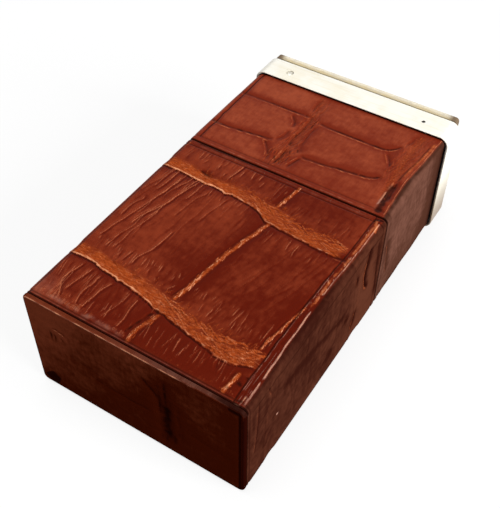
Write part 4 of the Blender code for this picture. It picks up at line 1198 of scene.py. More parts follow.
def hide_band(sheet, rng, lower, upper):
    """One band of open fibres between two rows of tiles. It rises towards its lower edge, which stands over
    the row in front with a pale crest, partly rubbed and partly a painted highlight, and a painted shadow on
    that row below it.
    It fades into the row behind, and strands cross each other along it."""
    u, v = sheet.u[:, None], sheet.v[None, :]
    ragged = 0.12 * sheet.noise(0.9, 11) + 0.09 * sheet.noise(0.4, 12)
    low = follow(lower, sheet.u)[:, None] + ragged
    high = follow(upper, sheet.u)[:, None] + 1.6 * ragged
    share = np.clip((v - low) / (high - low), 0, 1)
    inside = smooth_step(-0.08, 0.08, v - low) * (1 - smooth_step(-0.9, 0.7, v - high))
    crest = bell(v - low - 0.22, 0.2)
    before = v < low
    below = np.clip(low - v, 0, None)
    # It shows most on the upper face, and is rubbed most at its left
    top = smooth_step(-0.5, 1.5, u) * (1 - smooth_step(44.5, 47.5, u))
    shown = 0.22 + 0.78 * top
    left = 1 - smooth_step(13, 26, u)
    sheet.rise += inside * (-0.2 * np.sin(math.pi * share) * share - 0.03)
    sheet.rise += -0.08 * bell(v - high, 0.5)
    sheet.rise += 0.05 * crest * (0.4 + sheet.breaks)
    sheet.rise += np.where(before, -0.26 * shown * np.exp(-below / 0.7) * smooth_step(0, 0.15, below), 0)
    amount = 0.7 - 0.36 * share + 0.2 * sheet.noise(0.8, 13) + 0.16 * sheet.noise(2.5, 14)
    amount = amount + 0.32 * left + 0.25 * bell(v - high, 0.16) * smooth_step(0.3, 0.6, sheet.breaks)
    sheet.worn[:] = np.maximum(sheet.worn, inside * shown * amount)
    # The crest's pale line, partly rubbed and partly a painted highlight
    amount = 0.65 * (1 - sheet.breaks) + 0.42 * left
    sheet.pale[:] = np.maximum(sheet.pale, crest * inside * shown * amount)
    # A painted shadow on the row in front, under the lower edge: a dark line, and a darker tone that fades
    # out below
    sheet.dark[:] = np.maximum(sheet.dark, 0.85 * bell(below - 0.22, 0.24) * before * shown)
    sheet.dark *= 1 - 0.8 * inside
    sheet.tone += np.where(before, -0.75 * shown * np.exp(-below / 0.9), 0)
    step = np.linspace(-1, 1, 4)
    for _ in range(300):
        middle = rng.uniform(1, 46)
        wide = follow(upper, middle) - follow(lower, middle)
        slope = (follow(lower, middle + 2) - follow(lower, middle - 2)) / 4
        half = rng.uniform(0.6, 2.0)
        lean = rng.choice((-1, 1)) * rng.uniform(0.1, 0.6)
        place = follow(lower, middle) + wide * rng.uniform(0.12, 1.0)
        across = middle + half * step
        along = place + step * half * (slope + lean) + 0.12 * np.sin(2 * step)
        along = np.clip(along, follow(lower, across) + 0.3, follow(upper, across) + 0.1)
        line = np.stack((across, along), -1)
        clarity = 0.35 + 0.65 * smooth_step(14, 26, middle)
        sheet.stroke(line - (0, 0.26), 0.14, rise=-0.045, dark=rng.uniform(0.15, 0.55) * clarity, ends=0.5)
        sheet.stroke(line, rng.uniform(0.08, 0.13), rise=0.05, worn=rng.uniform(0.8, 1.2) * clarity,
                     pale=rng.uniform(-0.2, 0.42) * clarity, ends=0.5, clear=0.9)


def fringe(sheet, rng, upper, count):
    """Loose fibres that run from a band's upper edge into the row of tiles behind."""
    for _ in range(count):
        u = rng.uniform(8, 45)
        start = np.array((u, follow(upper, u) - rng.uniform(0, 0.6)))
        run = np.array((rng.uniform(-0.4, 1.5), rng.uniform(0.8, 2.6)))
        bend = np.array((rng.normal(0, 0.15), 0))
        sheet.stroke((start, start + 0.5 * run + bend, start + run), 0.13, rise=0.04,
                     worn=rng.uniform(0.3, 0.65), pale=0.12, ends=0.9, clear=0.5)


def side_wrinkles(sheet, rng, places, start, lean):
    """Faint wrinkles across the right side, one at each place along the box. They start in a range of u, and
    lean() gives the slope of each."""
    for v in places:
        first, run = rng.uniform(*start), rng.uniform(5, 14)
        slope = lean()
        steps = [run * share for share in (0, 0.33, 0.67, 1)]
        line = [(first + step, v + slope * step + rng.normal(0, 0.2)) for step in steps]
        sheet.wrinkle(line, rng.uniform(0.1, 0.4))


def down_side(points):
    """Places on the right side, measured along the box and up from its lower fold, as (u, v)."""
    return [(LOWER_FOLD - height, v) for v, height in points]


def hide_columns(settings, fold):
    """Columns of a sheet from seam to seam, as u."""
    steps = (millimetres(settings, name) for name in ("top_step", "side_step", "seam_gap"))
    return fold.columns(*steps) + HALF_TOP


def edge_rows(length, middle):
    """Rows of a sheet from its mouth, closest together at both its ends."""
    ends = np.array((0, 0.06, 0.13, 0.22, 0.32))
    return np.concatenate((ends, middle, length - ends[::-1]))


def lid_rows(settings):
    """Rows of the lid's hide from its mouth, closer together at the bands and at the ends."""
    low, high = corners_mm("lid_hide_wrap")
    length = high[1] - low[1]
    places = np.linspace(0, length, 2000)
    close = np.zeros(len(places))
    for start, end in ((0, 3), (7.4, 14.6), (40, 45.4), (52.4, length)):
        near = smooth_step(start - 1, start, places) * (1 - smooth_step(end, end + 1, places))
        close = np.maximum(close, near)
    step = millimetres(settings, "along_step") * (1 - 0.45 * close)
    reached = np.cumsum(1 / step)
    rows = np.linspace(reached[0], reached[-1], round((reached[-1] - reached[0]) * (places[1] - places[0])))
    middle = length - np.interp(rows, reached, places)[::-1]
    return edge_rows(length, middle[(middle > 0.42) & (middle < length - 0.42)])


def lid_sheet(settings, fold):
    """The lid's hide, cut flat with its two bands, seams, wrinkles and pressed lines."""
    from_mouth = lid_rows(settings)
    # It is drawn from its closed end, and turned about at last
    sheet = FlatHide(hide_columns(settings, fold), LID_LENGTH - from_mouth[::-1], 3)
    rng = np.random.default_rng(41)
    for lower, upper in LID_BANDS:
        hide_band(sheet, rng, lower, upper)
        fringe(sheet, rng, upper, 130)
    for wrinkles in LID_FINE_WRINKLES:
        random_wrinkles(sheet, rng, *wrinkles)
    for patch in LID_CLOUDS:
        sheet.cloud(*patch)
    for points, width, bright in LID_SEAMS:
        sheet.seam(points, width, bright=bright)
    for points in LID_OTHER_SEAMS:
        sheet.seam(points, 0.9, 0.8, 0.35)
    for points, strength in LID_WRINKLES:
        sheet.wrinkle(points, strength)
    # A dark cleft beside the seam of the front row
    sheet.stroke(((24.0, 10.4), (23.4, 8.6), (22.7, 6.2), (22.2, 4.2), (22.0, 2.6)), 0.34, rise=-0.1,
                 dark=0.85, broken=0.4)
    sheet.stroke(((24.6, 10.9), (23.9, 9.9)), 0.6, rise=-0.1, dark=1.0, ends=0.6)
    for points, strength, width in LID_CREASES:
        sheet.crease(points, strength, width)
    side_wrinkles(sheet, rng, np.arange(2.4, 54, 2.2), (51.5, 62), lambda: rng.normal(0, 0.08))
    for points, strength, width in LID_SIDE_CREASES:
        sheet.crease(down_side(points), strength, width)
    for points, strength in LID_SIDE_WRINKLES:
        sheet.wrinkle(down_side(points), strength)
    mark_lid_fold(sheet)
    mark_lid_ends(sheet)
    for layer in FlatHide.LAYERS:
        setattr(sheet, layer, getattr(sheet, layer)[:, ::-1])
    sheet.v = from_mouth
    return sheet


def mark_lid_fold(sheet):
    """The lid's pressed lines, and its right fold: a pale ridge, partly rubbed and partly a painted
    highlight, with painted shade past it where the fold turns down, and between it and the pressed line a
    strip of broken scuffs."""
    sheet.press(((0.9, sheet.v[0]), (0.9, sheet.v[-1])), 0.9)
    for v in (1.9, 53.6):
        sheet.press(((sheet.u[0], v), (sheet.u[-1], v)), 0.9)
    sheet.stroke(((46.8, 1.2), (46.65, 8), (46.65, 20), (46.75, 30), (47.1, 38), (47.4, 46), (47.5, 55)), 0.2,
                 rise=-0.13, dark=0.85, ends=0)
    for v, width, depth, dark in ((1.3, 0.16, 0.06, 0.95), (0.5, 0.18, 0.05, 0.9)):
        sheet.line(-1, 51, v, width, rise=-depth, dark=dark, ends=0)
    sheet.line(1, 46, 1.62, 0.1, dust=0.9, pale=0.3, ends=1, broken=0.5)
    sheet.press(((52.1, 3), (52.1, 54)), 0.9)
    sheet.press(((-2.2, 0), (-2.2, 55)), 0.7)
    mark_painted_sides(sheet, LID_RIDGE)
    ridge = np.array(LID_RIDGE)[:, ::-1]
    # Darker to both sides of the ridge; on its outer side this is painted shade where the fold turns down
    for shift, width, tone, dark, broken in ((0.75, 0.5, -0.2, 0.35, 0.4), (-0.75, 0.7, -0.5, 0.25, 0.5)):
        sheet.stroke(ridge + (shift, 0), width, tone=tone, dark=dark, ends=0, broken=broken)
    # The ridge's pale lines: partly rubbed, partly a painted highlight
    for start, end, width, strength in ((0, 3, 0.16, 1.0), (2, 7, 0.15, 1.1), (7, 12, 0.12, 0.8)):
        sheet.stroke(ridge[start:end], width, rise=0.08, worn=0.45, pale=0.9 * strength, ends=0.8, clear=0.8,
                     broken=0.25)
    sheet.stroke(ridge[:7] - (0.7, 0), 0.5, dark=0.45, ends=1, broken=0.8)
    sheet.stroke(ridge[6:] - (0.55, 0), 0.36, worn=0.9, pale=0.3, ends=1.5, broken=0.6)
    sheet.stroke(((47.1, 2), (46.95, 8), (46.95, 20), (47.1, 30), (47.4, 40)), 0.11, rise=0.03, worn=0.3,
                 pale=0.5, ends=2, broken=0.5)
    # Darker near the closed end, with fine pale lines along it
    sheet.stroke(((48.2, 1), (47.9, 8), (47.7, 17)), 1.0, tone=-0.6, dark=0.35, ends=2)
    for u, start, end in ((47.5, 1, 9), (48.0, 2, 15), (48.5, 0.8, 6)):
        sheet.stroke(((u, start), (u - 0.25, end)), 0.1, worn=0.25, pale=0.4, ends=1, broken=0.5)
    for points in (((45.0, 5.3), (46.6, 4.5)), ((46.2, 7.2), (46.9, 6.2)), ((44.4, 3.8), (44.6, 2.6))):
        sheet.stroke(points, 0.5, dark=0.85, ends=0.5, broken=0.3)
    # Dry flecks along the ridge
    sheet.scuffs(ridge[6:] - (0.6, 0), 0.6, 0.7, 60, (0.12, 0.35))
    sheet.scuffs(ridge[:5] - (0.5, 0), 0.5, 0.4, 24, (0.12, 0.35))


def mark_lid_ends(sheet):
    """Wear, dust and dye along the lid's ends: first the closed end with its frayed edge, then the mouth."""
    for start, end, reach, strength, count in ((0.6, 12, 2.2, 0.34, 60), (1, 23, 1.4, 0.34, 60),
                                               (24, 46, 0.8, 0.25, 50)):
        sheet.tufts(((start, 2.2), (end, 2.2)), reach, strength, count)
    # The near right corner
    for width, *points in ((0.2, (45.6, 0.9), (47.6, 1.1), (49.4, 1.0)),
                           (0.16, (48.0, 0.5), (48.1, 2.2), (48.3, 4.5))):
        sheet.stroke(points, width, worn=0.6, pale=0.7, ends=0.8, broken=0.6)
    sheet.stroke(((46.9, 1.6), (47.7, 2.1), (48.6, 2.0)), 0.3, dark=0.9, ends=0.6)
    # Dust and lighter dye along the closed end
    sheet.stroke(((0.6, 2.7), (9, 2.6), (16, 2.5), (22.5, 2.4)), 0.45, dust=0.6, ends=2, broken=0.9)
    sheet.line(-1, 51, 0.9, 0.4, tone=-0.5, dust=0.3, ends=0)
    sheet.cloud(2, 3.6, 2.6, 3, tone=0.4, dust=0.3)
    # The mouth
    sheet.scuffs(((2, 54.2), (47, 54.2)), 0.5, 0.4, 70)
    sheet.line(2, 47, 54.2, 0.2, dust=0.25, ends=2, broken=0.5)
    sheet.stroke(((47.0, 53.8), (48.4, 54.5), (49.6, 54.8)), 0.4, rise=-0.1, dark=1.0, ends=0.5)
    sheet.stroke(((0.6, 54.9), (10, 54.9), (22, 55.1)), 0.3, dark=0.9, ends=4)
    sheet.stroke(((1.1, 51.4), (1.2, 53), (1.5, 54.7)), 0.2, rise=0.04, worn=0.9, pale=0.35, ends=0.7,
                 broken=0.3)
    sheet.scuffs(((64.4, 11.5), (63.9, 12.3)), 0.2, 1.3, 9)
    sheet.stroke(((47.6, 54.6), (48.4, 53), (49.3, 50.4)), 0.4, rise=0.05, worn=1, pale=0.3, ends=0.6)
    # Darker along the left fold and the mouth
    sheet.stroke(((-0.3, 0), (-0.3, 56)), 0.9, dark=0.3, ends=0, straight=True)
    sheet.line(-51, 101, LID_LENGTH, 0.22, dark=0.9, ends=0)


def cup_sheet(settings, fold):
    """The cup's hide, cut flat with its square tiles and pressed lines."""
    low, high = corners_mm("cup_hide_wrap")
    length = high[1] - low[1]
    middle = np.linspace(0.5, length - 0.5, round((length - 1) / millimetres(settings, "along_step")))
    sheet = FlatHide(hide_columns(settings, fold), edge_rows(length, middle), 5)
    rng = np.random.default_rng(43)
    for points, strength, width in CUP_CREASES:
        sheet.crease(points, 1.25 * strength, width)
    side_wrinkles(sheet, rng, np.arange(2, 29, 1.9), (52, 60), lambda: 0.25)
    for points, strength in CUP_WRINKLES:
        sheet.wrinkle(points, strength)
    for points, strength, width in CUP_SIDE_CREASES:
        sheet.crease(down_side(points), strength, width)
    # Square tiles on the left side and underneath
    left_row = ((-50, 0), (-38, 0.6), (-25, 0), (-12, -0.5), (0, 0))
    lower_row = ((77, 0), (88, 0.5), (100, 0))
    for start, end, first, row in ((-50, -1, -50, left_row), (51, 100, 74, lower_row)):
        for u in np.arange(start, end, 12.5):
            wobble = rng.normal(0, 0.4, 4)
            if u >= first:
                sheet.crease(np.stack((u + wobble, (0, 9, 20, 31)), -1), 0.7, 0.35)
        for v in (9, 20.6):
            sheet.crease([(u, v + shift) for u, shift in row], 0.7, 0.3)
    random_wrinkles(sheet, rng, (2, 46), (3, 28), 3.5, 0.12)
    random_wrinkles(sheet, rng, (51, 74), (3, 29), 1.6, 0.22)
    random_wrinkles(sheet, rng, (-25, -1), (3, 28), 2.4, 0.25)
    # Worn valleys between the tiles, with strands and dark flecks
    for points, width, amount in (
        (((20.8, 2), (20.4, 8), (20.4, 15), (20.3, 20), (19.6, 25), (19.2, 29)), 1.5, 0.36),
        (((46, 4), (45.4, 10), (44.9, 16), (44.6, 22), (44.9, 29)), 1.3, 0.45),
    ):
        sheet.stroke(points, width, rise=-0.1, worn=amount, ends=1)
    for u_range, v_range, count, lean, strength in (
        ((17.6, 22.6), (2.2, 8.5), 60, 0.7, 0.7), ((18.4, 22.4), (8.5, 22), 90, 0.45, 0.55),
        ((18.6, 21.2), (22, 29), 30, 0.3, 0.5), ((42.6, 46.6), (9, 24), 90, 0.6, 0.6),
        ((43.5, 46.6), (24, 29), 24, 0.4, 0.5),
    ):
        sheet.strands(rng, u_range, v_range, count, lean, strength)
    for points in (((19.4, 5.4), (20.5, 3.4)), ((21.4, 8.8), (22.3, 6.8)), ((20.1, 11.6), (20.8, 9.4)),
                   ((22.7, 9.8), (23.7, 8)), ((19.8, 14.5), (20.5, 12.6)), ((21.4, 19.6), (21.8, 17.2))):
        sheet.stroke(points, 0.28, rise=-0.06, dark=0.75, ends=0.7)
    for patch in CUP_CLOUDS:
        sheet.cloud(*patch)
    mark_cup_edges(sheet)
    sheet.rise -= 0.02 * (1 + sheet.noise(4, 31))
    return sheet


def mark_cup_edges(sheet):
    """The cup's pressed lines, its right fold, partly rubbed and partly painted highlight and shade, and
    darker lines along its ends.
    """
    length = sheet.v[-1]
    sheet.press(((sheet.u[0], 1.7), (sheet.u[-1], 1.7)), 0.9)
    left_line = ((1.85, 1.7), (1.8, 14), (1.75, 30))
    sheet.stroke(left_line, 0.5, rise=-0.05, tone=-0.5, dark=0.25, ends=0)
    sheet.stroke(left_line, 0.2, rise=-0.12, dark=0.9, ends=0)
    for v in (8.3, 21.2):
        sheet.stroke(((0.6, v - 0.3), (1.9, v - 0.1), (4.2, v - 0.3)), 0.16, worn=0.6, pale=0.5, ends=0.8,
                     broken=0.3)
    mark_painted_sides(sheet, CUP_RIDGE)
    # Fine light lines along the front edge, and a dark one between them
    sheet.line(1.5, 47, 2.1, 0.1, worn=0.2, pale=0.25, ends=2, broken=0.4)
    sheet.line(0.5, 47, 0.55, 0.12, worn=0.3, pale=0.4, ends=3, broken=0.4)
    sheet.line(0.5, 47, 1.05, 0.14, rise=-0.04, dark=0.8, ends=1)
    # The right fold: darker beside its ridge, painted shade where the fold turns down, with a black patch and
    # dust in front, and behind a worn streak and the ridge's pale line, partly rubbed and partly a painted
    # highlight
    ridge = np.array(CUP_RIDGE)[:, ::-1]
    sheet.stroke(ridge + (0.7, 0), 0.5, tone=-0.5, dark=0.45, ends=0, broken=0.3)
    sheet.stroke(ridge[:4] - (0.9, 0), 0.7, tone=-0.5, dark=0.3, ends=1, broken=0.3)
    sheet.stroke(((47.0, 0.3), (46.6, 3), (46.2, 7), (46.3, 11)), 0.85, rise=-0.14, dark=1.35, ends=1.2,
                 broken=0.35)
    sheet.stroke(((45.9, 1.5), (45.7, 6), (45.8, 11)), 0.24, worn=0.2, pale=0.5, dust=0.9, ends=1, broken=0.7,
                 clear=0.8)
    sheet.stroke(((46.4, 11), (46.8, 16), (47.3, 20), (47.7, 27)), 0.3, rise=-0.08, dark=0.7, ends=1.5)
    sheet.stroke(((46.9, 13), (47.3, 18), (47.9, 23), (48.4, 28.6)), 0.42, rise=0.05, worn=0.9, pale=0.3,
                 ends=1.6, clear=0.5, broken=0.3)
    sheet.stroke(ridge, 0.14, rise=0.06, worn=0.7, pale=0.4, ends=1, clear=0.8, broken=0.3)
    sheet.scuffs(((46.2, 4), (46.4, 12)), 0.4, 0.5, 12)
    # Darker along the left fold, the ends and the right side's end
    sheet.stroke(((0.2, 0), (0.2, 32)), 0.4, dark=0.35, ends=0, straight=True)
    for start, end, v, width, dark in ((-51, 101, 0, 0.2, 0.9), (-51, 101, length - 0.2, 0.5, 1.0),
                                       (51.5, 77, 29.6, 2.2, 0.62)):
        sheet.line(start, end, v, width, dark=dark, ends=0)


def end_sheet():
    """The panel of hide on the lid's closed end, laid flat, smooth with a few folds."""
    sheet = FlatHide(np.arange(0, 50.01, 0.25), np.arange(0, 27.01, 0.25), 9)
    rng = np.random.default_rng(47)
    for points, strength, width in END_CREASES:
        sheet.stroke(points, 1.8, rise=-0.1 * strength, tone=-0.4 * strength, ends=2)
        sheet.stroke(points, width * 1.2, rise=-0.12 * strength, dark=0.6 * strength, ends=2)
        sheet.stroke(points, width * 0.5, rise=-0.08 * strength, dark=strength, ends=2, broken=0.4)
    for points, strength in END_WRINKLES:
        sheet.wrinkle(points, strength)
    # Faint folds across the panel
    for _ in range(34):
        u, v = rng.uniform(2, 48), rng.uniform(2, 25)
        reach = rng.uniform(1.5, 5)
        sheet.stroke(((u - reach, v), (u, v + rng.normal(0, 0.4)), (u + reach, v + rng.normal(0, 0.5))), 0.35,
                     rise=rng.choice((-0.04, 0.03)), dark=0.15)
    # A pressed line at the right, a dark place in the lower left corner, and a painted shadow in the upper
    # right one
    sheet.stroke(((49.0, 0), (49.0, 27)), 0.3, rise=-0.12, dark=1.0, ends=0, straight=True)
    sheet.stroke(((2.0, 3.5), (3.2, 2.3), (4.6, 1.6)), 1.8, rise=-0.1, dark=1.8, ends=0.3)
    sheet.stroke(((46.5, 26.4), (49.6, 26.2)), 0.6, dark=1.2, ends=0.5)
    # The dark join of two tiles, with two short lines beside it
    sheet.stroke(((31.8, 19), (32.4, 14), (32.5, 9), (32.3, 4), (31.6, 0.5)), 2.6, tone=-0.5, dark=0.3,
                 ends=4)
    sheet.stroke(((32.3, 17), (32.6, 13), (32.4, 9), (32.6, 5), (32.2, 2)), 1.3, rise=-0.06, dark=1.0, ends=3,
                 broken=0.3)
    sheet.stroke(((34.4, 8), (34.3, 5), (33.8, 2)), 0.7, dark=0.6, ends=2, broken=0.4)
    sheet.stroke(((35.9, 12), (35.4, 8), (35.8, 5)), 0.4, dark=0.5, ends=2, broken=0.4)
    sheet.rise += 0.03 * sheet.noise(5, 21) - 0.03
    sheet.cloud(40, 20, 8, 5, 0.12)
    # Painted shade: lightest in the upper left corner and darkest in the lower right
    slant = sheet.u[:, None] - 1.3 * (sheet.v[None, :] - 27)
    sheet.tone += 0.42 - 0.95 * smooth_step(0, 60, slant) + 0.1 * sheet.noise(7, 22)
    return sheet


def end_shape(sheet, front, half_height):
    """The face of the end panel and its marks, as functions of places on it."""

    def face(x, z, inset):
        sunk = np.minimum(sheet.at("rise", x + HALF_TOP, z + half_height), 0)
        return front + rounded(inset, 0.45) - sunk * smooth_step(0, 1, inset)

    def layers(x, z, inset):
        u, v = x + HALF_TOP, z + half_height
        here = {label: sheet.at(label, u, v) for label in ("worn", "pale", "dark", "dust", "tone")}
        rim = bell(inset, 0.08)
        foot = bell(inset, 0.5) * (z < half_height - 1.3)
        # A pale line along the rounded top edge, fading to the right: partly rubbed, partly a painted
        # highlight
        crest = bell(inset - 0.26, 0.13) * (z > half_height - 2)
        upper = bell(inset, 0.12) * (z > half_height - 1)
        patchy = 0.66 + 0.4 * lattice_noise(x[:, 0], z[0], 1.2, 71)
        rubbed = crest * patchy * (1 - smooth_step(8, 19, x) * 0.8)
        here["worn"] = np.maximum(here["worn"], 0.75 * rubbed)
        here["pale"] = here["pale"] + 0.9 * rubbed
        dark = np.maximum(here["dark"], 0.75 * rim * (1 - 0.35 * upper) + 0.6 * foot) * (1 - crest)
        # Darker along the rim's right part: painted shadow towards that corner
        here["dark"] = dark + 0.6 * smooth_step(17, 22, x) * bell(inset, 0.6)
        here["dust"] = np.maximum(here["dust"], 0.6 * upper * smooth_step(-12, 16, x))
        here["unfaded"] = np.ones(x.shape)
        here["place"] = np.stack((u, v, np.full(x.shape, 200.0)), -1)
        return here

    return face, layers


def pad_shape(width, height, front, way, edge, crown):
    """The face of a pad and how soiled it is, as functions of places on it. Way is 1 where the pad faces back
    and -1 where it faces front, and its crown falls away to the edges."""

    def face(x, z, inset):
        swell = crown * (1 - np.clip(inset / (height / 3), 0, 1)) ** 2
        nap = [lattice_noise(x[:, 0], z[0], size, seed) for size, seed in ((0.9, 5), (4, 6))]
        nap = 0.035 * (1 + nap[0]) + 0.02 * (1 + nap[1])
        return front - way * (rounded(inset, edge) + swell + nap * smooth_step(0, 0.5, inset))

    def layers(x, z, inset):
        near_corner = np.hypot(np.abs(x) - width / 2, np.abs(z) - height / 2)
        return {"soil": 1.1 * bell(near_corner, 1.6) + 0.2 * bell(inset, 0.7)}

    return face, layers


# Pieces


class PieceOperator:
    """What every operator here shares."""

    bl_options = {"REGISTER", "UNDO"}

    @staticmethod
    def settings(context, name):
        return getattr(context.scene, name)


def wrap_fold(settings, low, high):
    """The outline of a wrap between two corners."""
    width, height = high[0] - low[0], high[2] - low[2]
    return Fold(width, height, millimetres(settings, "fold_radius"), (low[2] + high[2]) / 2)


class PINBOX_OT_lid_hide(PieceOperator, bpy.types.Operator):
    """Fold the tiled hide round the lid"""

    bl_idname = "pin_box.lid_hide"
    bl_label = "Lid Hide"

    def execute(self, context):
        settings = self.settings(context, "pin_box_hide")
        low, high = corners_mm("lid_hide_wrap")
        fold = wrap_fold(settings, low, high)
        piece = wrap_piece("lid_hide", lid_sheet(settings, fold), fold, high[1], -1,
                           millimetres(settings, "wall"), millimetres(settings, "thickness"), 0.14)
        tiles = settings.dark_tile, settings.light_tile
        sides = settings.side_dark, settings.side_light
        material = glazed_hide("crocodile_hide_glazed_lid", settings, tiles, sides)
        finish_piece(piece, material, "lid", "hide", "lid_hide_wrap")
        return {"FINISHED"}


class PINBOX_OT_cup_hide(PieceOperator, bpy.types.Operator):
    """Fold the tiled hide round the cup"""

    bl_idname = "pin_box.cup_hide"
    bl_label = "Cup Hide"

    def execute(self, context):
        settings = self.settings(context, "pin_box_hide")
        low, high = corners_mm("cup_hide_wrap")
        fold = wrap_fold(settings, low, high)
        boards = corners_mm("cup_board_left")[1][0], corners_mm("cup_board_right")[0][0]
        wall = (high[0] - low[0] - (boards[1] - boards[0])) / 2
        piece = wrap_piece("cup_hide", cup_sheet(settings, fold), fold, low[1], 1, wall,
                           millimetres(settings, "thickness"), 0.1, 0.25, DRAWN_IN)
        tiles = settings.cup_dark, settings.cup_light
        sides = settings.cup_side_dark, settings.cup_side_light
        material = glazed_hide("crocodile_hide_glazed_cup", settings, tiles, sides)
        finish_piece(piece, material, "cup", "hide", "cup_hide_wrap")
        return {"FINISHED"}


class PINBOX_OT_end_hide(PieceOperator, bpy.types.Operator):
    """Lay the hide panel on the lid's closed end"""

    bl_idname = "pin_box.end_hide"
    bl_label = "End Hide"

    def execute(self, context):
        settings = self.settings(context, "pin_box_hide")
        low, high = corners_mm("lid_hide_end")
        width, height = high[0] - low[0], high[2] - low[2]
        face, layers = end_shape(end_sheet(), low[1], height / 2)
        piece = plate_piece("lid_end_hide", width, height, millimetres(settings, "fold_radius"), 0.3, face,
                            high[1], (low[2] + high[2]) / 2, layers)
        tones = settings.end_dark, settings.end_light
        material = glazed_hide("crocodile_hide_glazed_end", settings, tones, tones)
        finish_piece(piece, material, "lid", "hide", "lid_hide_end")
        return {"FINISHED"}


class PINBOX_OT_collar(PieceOperator, bpy.types.Operator):
    """Shape the bone collar and cut its pin holes"""

    bl_idname = "pin_box.collar"
    bl_label = "Bone Collar"

    def execute(self, context):
        settings = self.settings(context, "pin_box_collar")
        low, high = corners_mm("collar")
        hide_low, hide_high = corners_mm("cup_hide_wrap")
        boards_low, boards_high = corners_mm("cup_board_upper")
        lower_board = corners_mm("cup_board_lower")[0]
        width, height = high[0] - low[0], high[2] - low[2]
        corner = millimetres(settings, "corner_radius")
        edge = millimetres(settings, "edge_radius")
        gap = millimetres(settings, "rebate_gap")
        rebate_width = hide_high[0] - hide_low[0] + 2 * (gap - DRAWN_IN)
        rebate_height = hide_high[2] - hide_low[2] + 2 * gap
        rim = (height - rebate_height) / 2
        # The bore clears the boards all round
        clearance = 0.3
        bore = (boards_high[0] - boards_low[0] + 2 * clearance,
                boards_high[2] - lower_board[2] + 2 * clearance, clearance)
        floor = low[1] + millimetres(settings, "rebate_depth")
        sections = []
        # Its front is half round, and its back edge is eased
        for radius, start, way in ((rim / 2, low[1], 1), (edge, high[1], -1)):
            rounding = []
            for step in range(7):
                turned = math.radians(90) * step / 6
                fall = radius * (1 - math.sin(turned))
                rounding.append((width - 2 * fall, height - 2 * fall, corner - fall,
                                 start + way * radius * (1 - math.cos(turned))))
            sections += rounding[::way]
        sections += [(*bore, high[1]), (*bore, floor), (rebate_width, rebate_height, corner - rim, floor),
                     (rebate_width, rebate_height, corner - rim, low[1] + rim / 2)]
        centre_z = (low[2] + high[2]) / 2
        piece = lofted_ring("bone_collar", sections, 16, centre_z)
        cutters = []
        for name in PIN_NODES:
            x, y, z, upward, head, sunk = pin_place(name)
            # Each hole clears its head, and a sunk head lies under a mouth that has closed a little over it
            clear = head + 0.16
            mouth = 0.46 if sunk > 0.1 else clear
            profile = ((0, 2), (mouth, 2), (mouth, -0.1), (clear, -0.12), (clear, -0.9), (0.55, -0.9),
                       (0.55, -4), (0, -4))
            cutters.append(turned_piece(name + "_hole", profile, x, y, z, upward))
        cut_away(piece, cutters)
        finish_piece(piece, polished_bone(settings), "cup", "bone", "collar")
        return {"FINISHED"}


PIN_NODES = [f"collar_pin_{level}_{side}" for level in ("upper", "lower") for side in ("left", "right")]


def pin_place(node_name):
    """Centre, face height, direction, head radius and sunk depth of a pin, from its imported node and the
    collar's face."""
    low, high = corners_mm(node_name)
    collar_low, collar_high = corners_mm("collar")
    upward = 1 if "upper" in node_name else -1
    face = collar_high[2] if upward > 0 else collar_low[2]
    sunk = abs(face - (high[2] if upward > 0 else low[2]))
    return (low[0] + high[0]) / 2, (low[1] + high[1]) / 2, face, upward, (high[0] - low[0]) / 2, sunk


class PINBOX_OT_collar_pins(PieceOperator, bpy.types.Operator):
    """Turn the four headed pins of the collar"""

    bl_idname = "pin_box.collar_pins"
    bl_label = "Collar Pins"

    def execute(self, context):
        settings = self.settings(context, "pin_box_collar")
        clean = drawn_nickel_silver("nickel_silver_drawn", settings, 0.1)
        # Sunk heads are dark all over: painted shade in their holes
        sunk_pin_painted_shade = drawn_nickel_silver("nickel_silver_sunk_painted_shade", settings, 1.0)
        for name in PIN_NODES:
            x, y, z, upward, head, sunk = pin_place(name)
            turns = np.radians(np.linspace(0, 90, 7))
            crown = [(head * math.sin(a), -sunk - 0.15 * (1 - math.cos(a))) for a in turns]
            profile = (*crown, (head, -sunk - 0.4), (0.45, -sunk - 0.4), (0.45, -3.1), (0.2, -3.6), (0, -3.6))
            piece = turned_piece(name.replace("collar_pin", "pin"), profile, x, y, z, upward)
            finish_piece(piece, sunk_pin_painted_shade if sunk > 0.1 else clean, "cup", "pin", name)
        return {"FINISHED"}


class PINBOX_OT_pads(PieceOperator, bpy.types.Operator):
    """Cut the suede foot pad and the velvet floor pad"""

    bl_idname = "pin_box.pads"
    bl_label = "Pads"

    def execute(self, context):
        settings = self.settings(context, "pin_box_soft")
        step = millimetres(settings, "step")
        # The suede's nap stands past its pad, half as far along the box as above and below
        for node_name, name, material, slot, edge, crown, way, fill, proud in (
            ("foot_pad", "suede_foot_pad", buffed_suede(settings), "suede", 0.2, 0.0, 1, 0.5,
             millimetres(settings, "nap")),
            ("floor_pad", "velvet_floor_pad", woven_velvet(settings), "velvet", 0.7, 0.35, -1, 0.6, 0.0),
        ):
            low, high = corners_mm(node_name)
            front, back = (high[1] + proud / 2, low[1]) if way > 0 else (low[1], high[1])
            width, height = high[0] - low[0], high[2] - low[2] + 2 * proud
            face, layers = pad_shape(width, height, front, way, edge, crown)
            piece = plate_piece(name, width, height, 0.9, step, face, back, (low[2] + high[2]) / 2, layers)
            finish_piece(piece, material, "cup", slot, node_name)
        return {"FINISHED"}


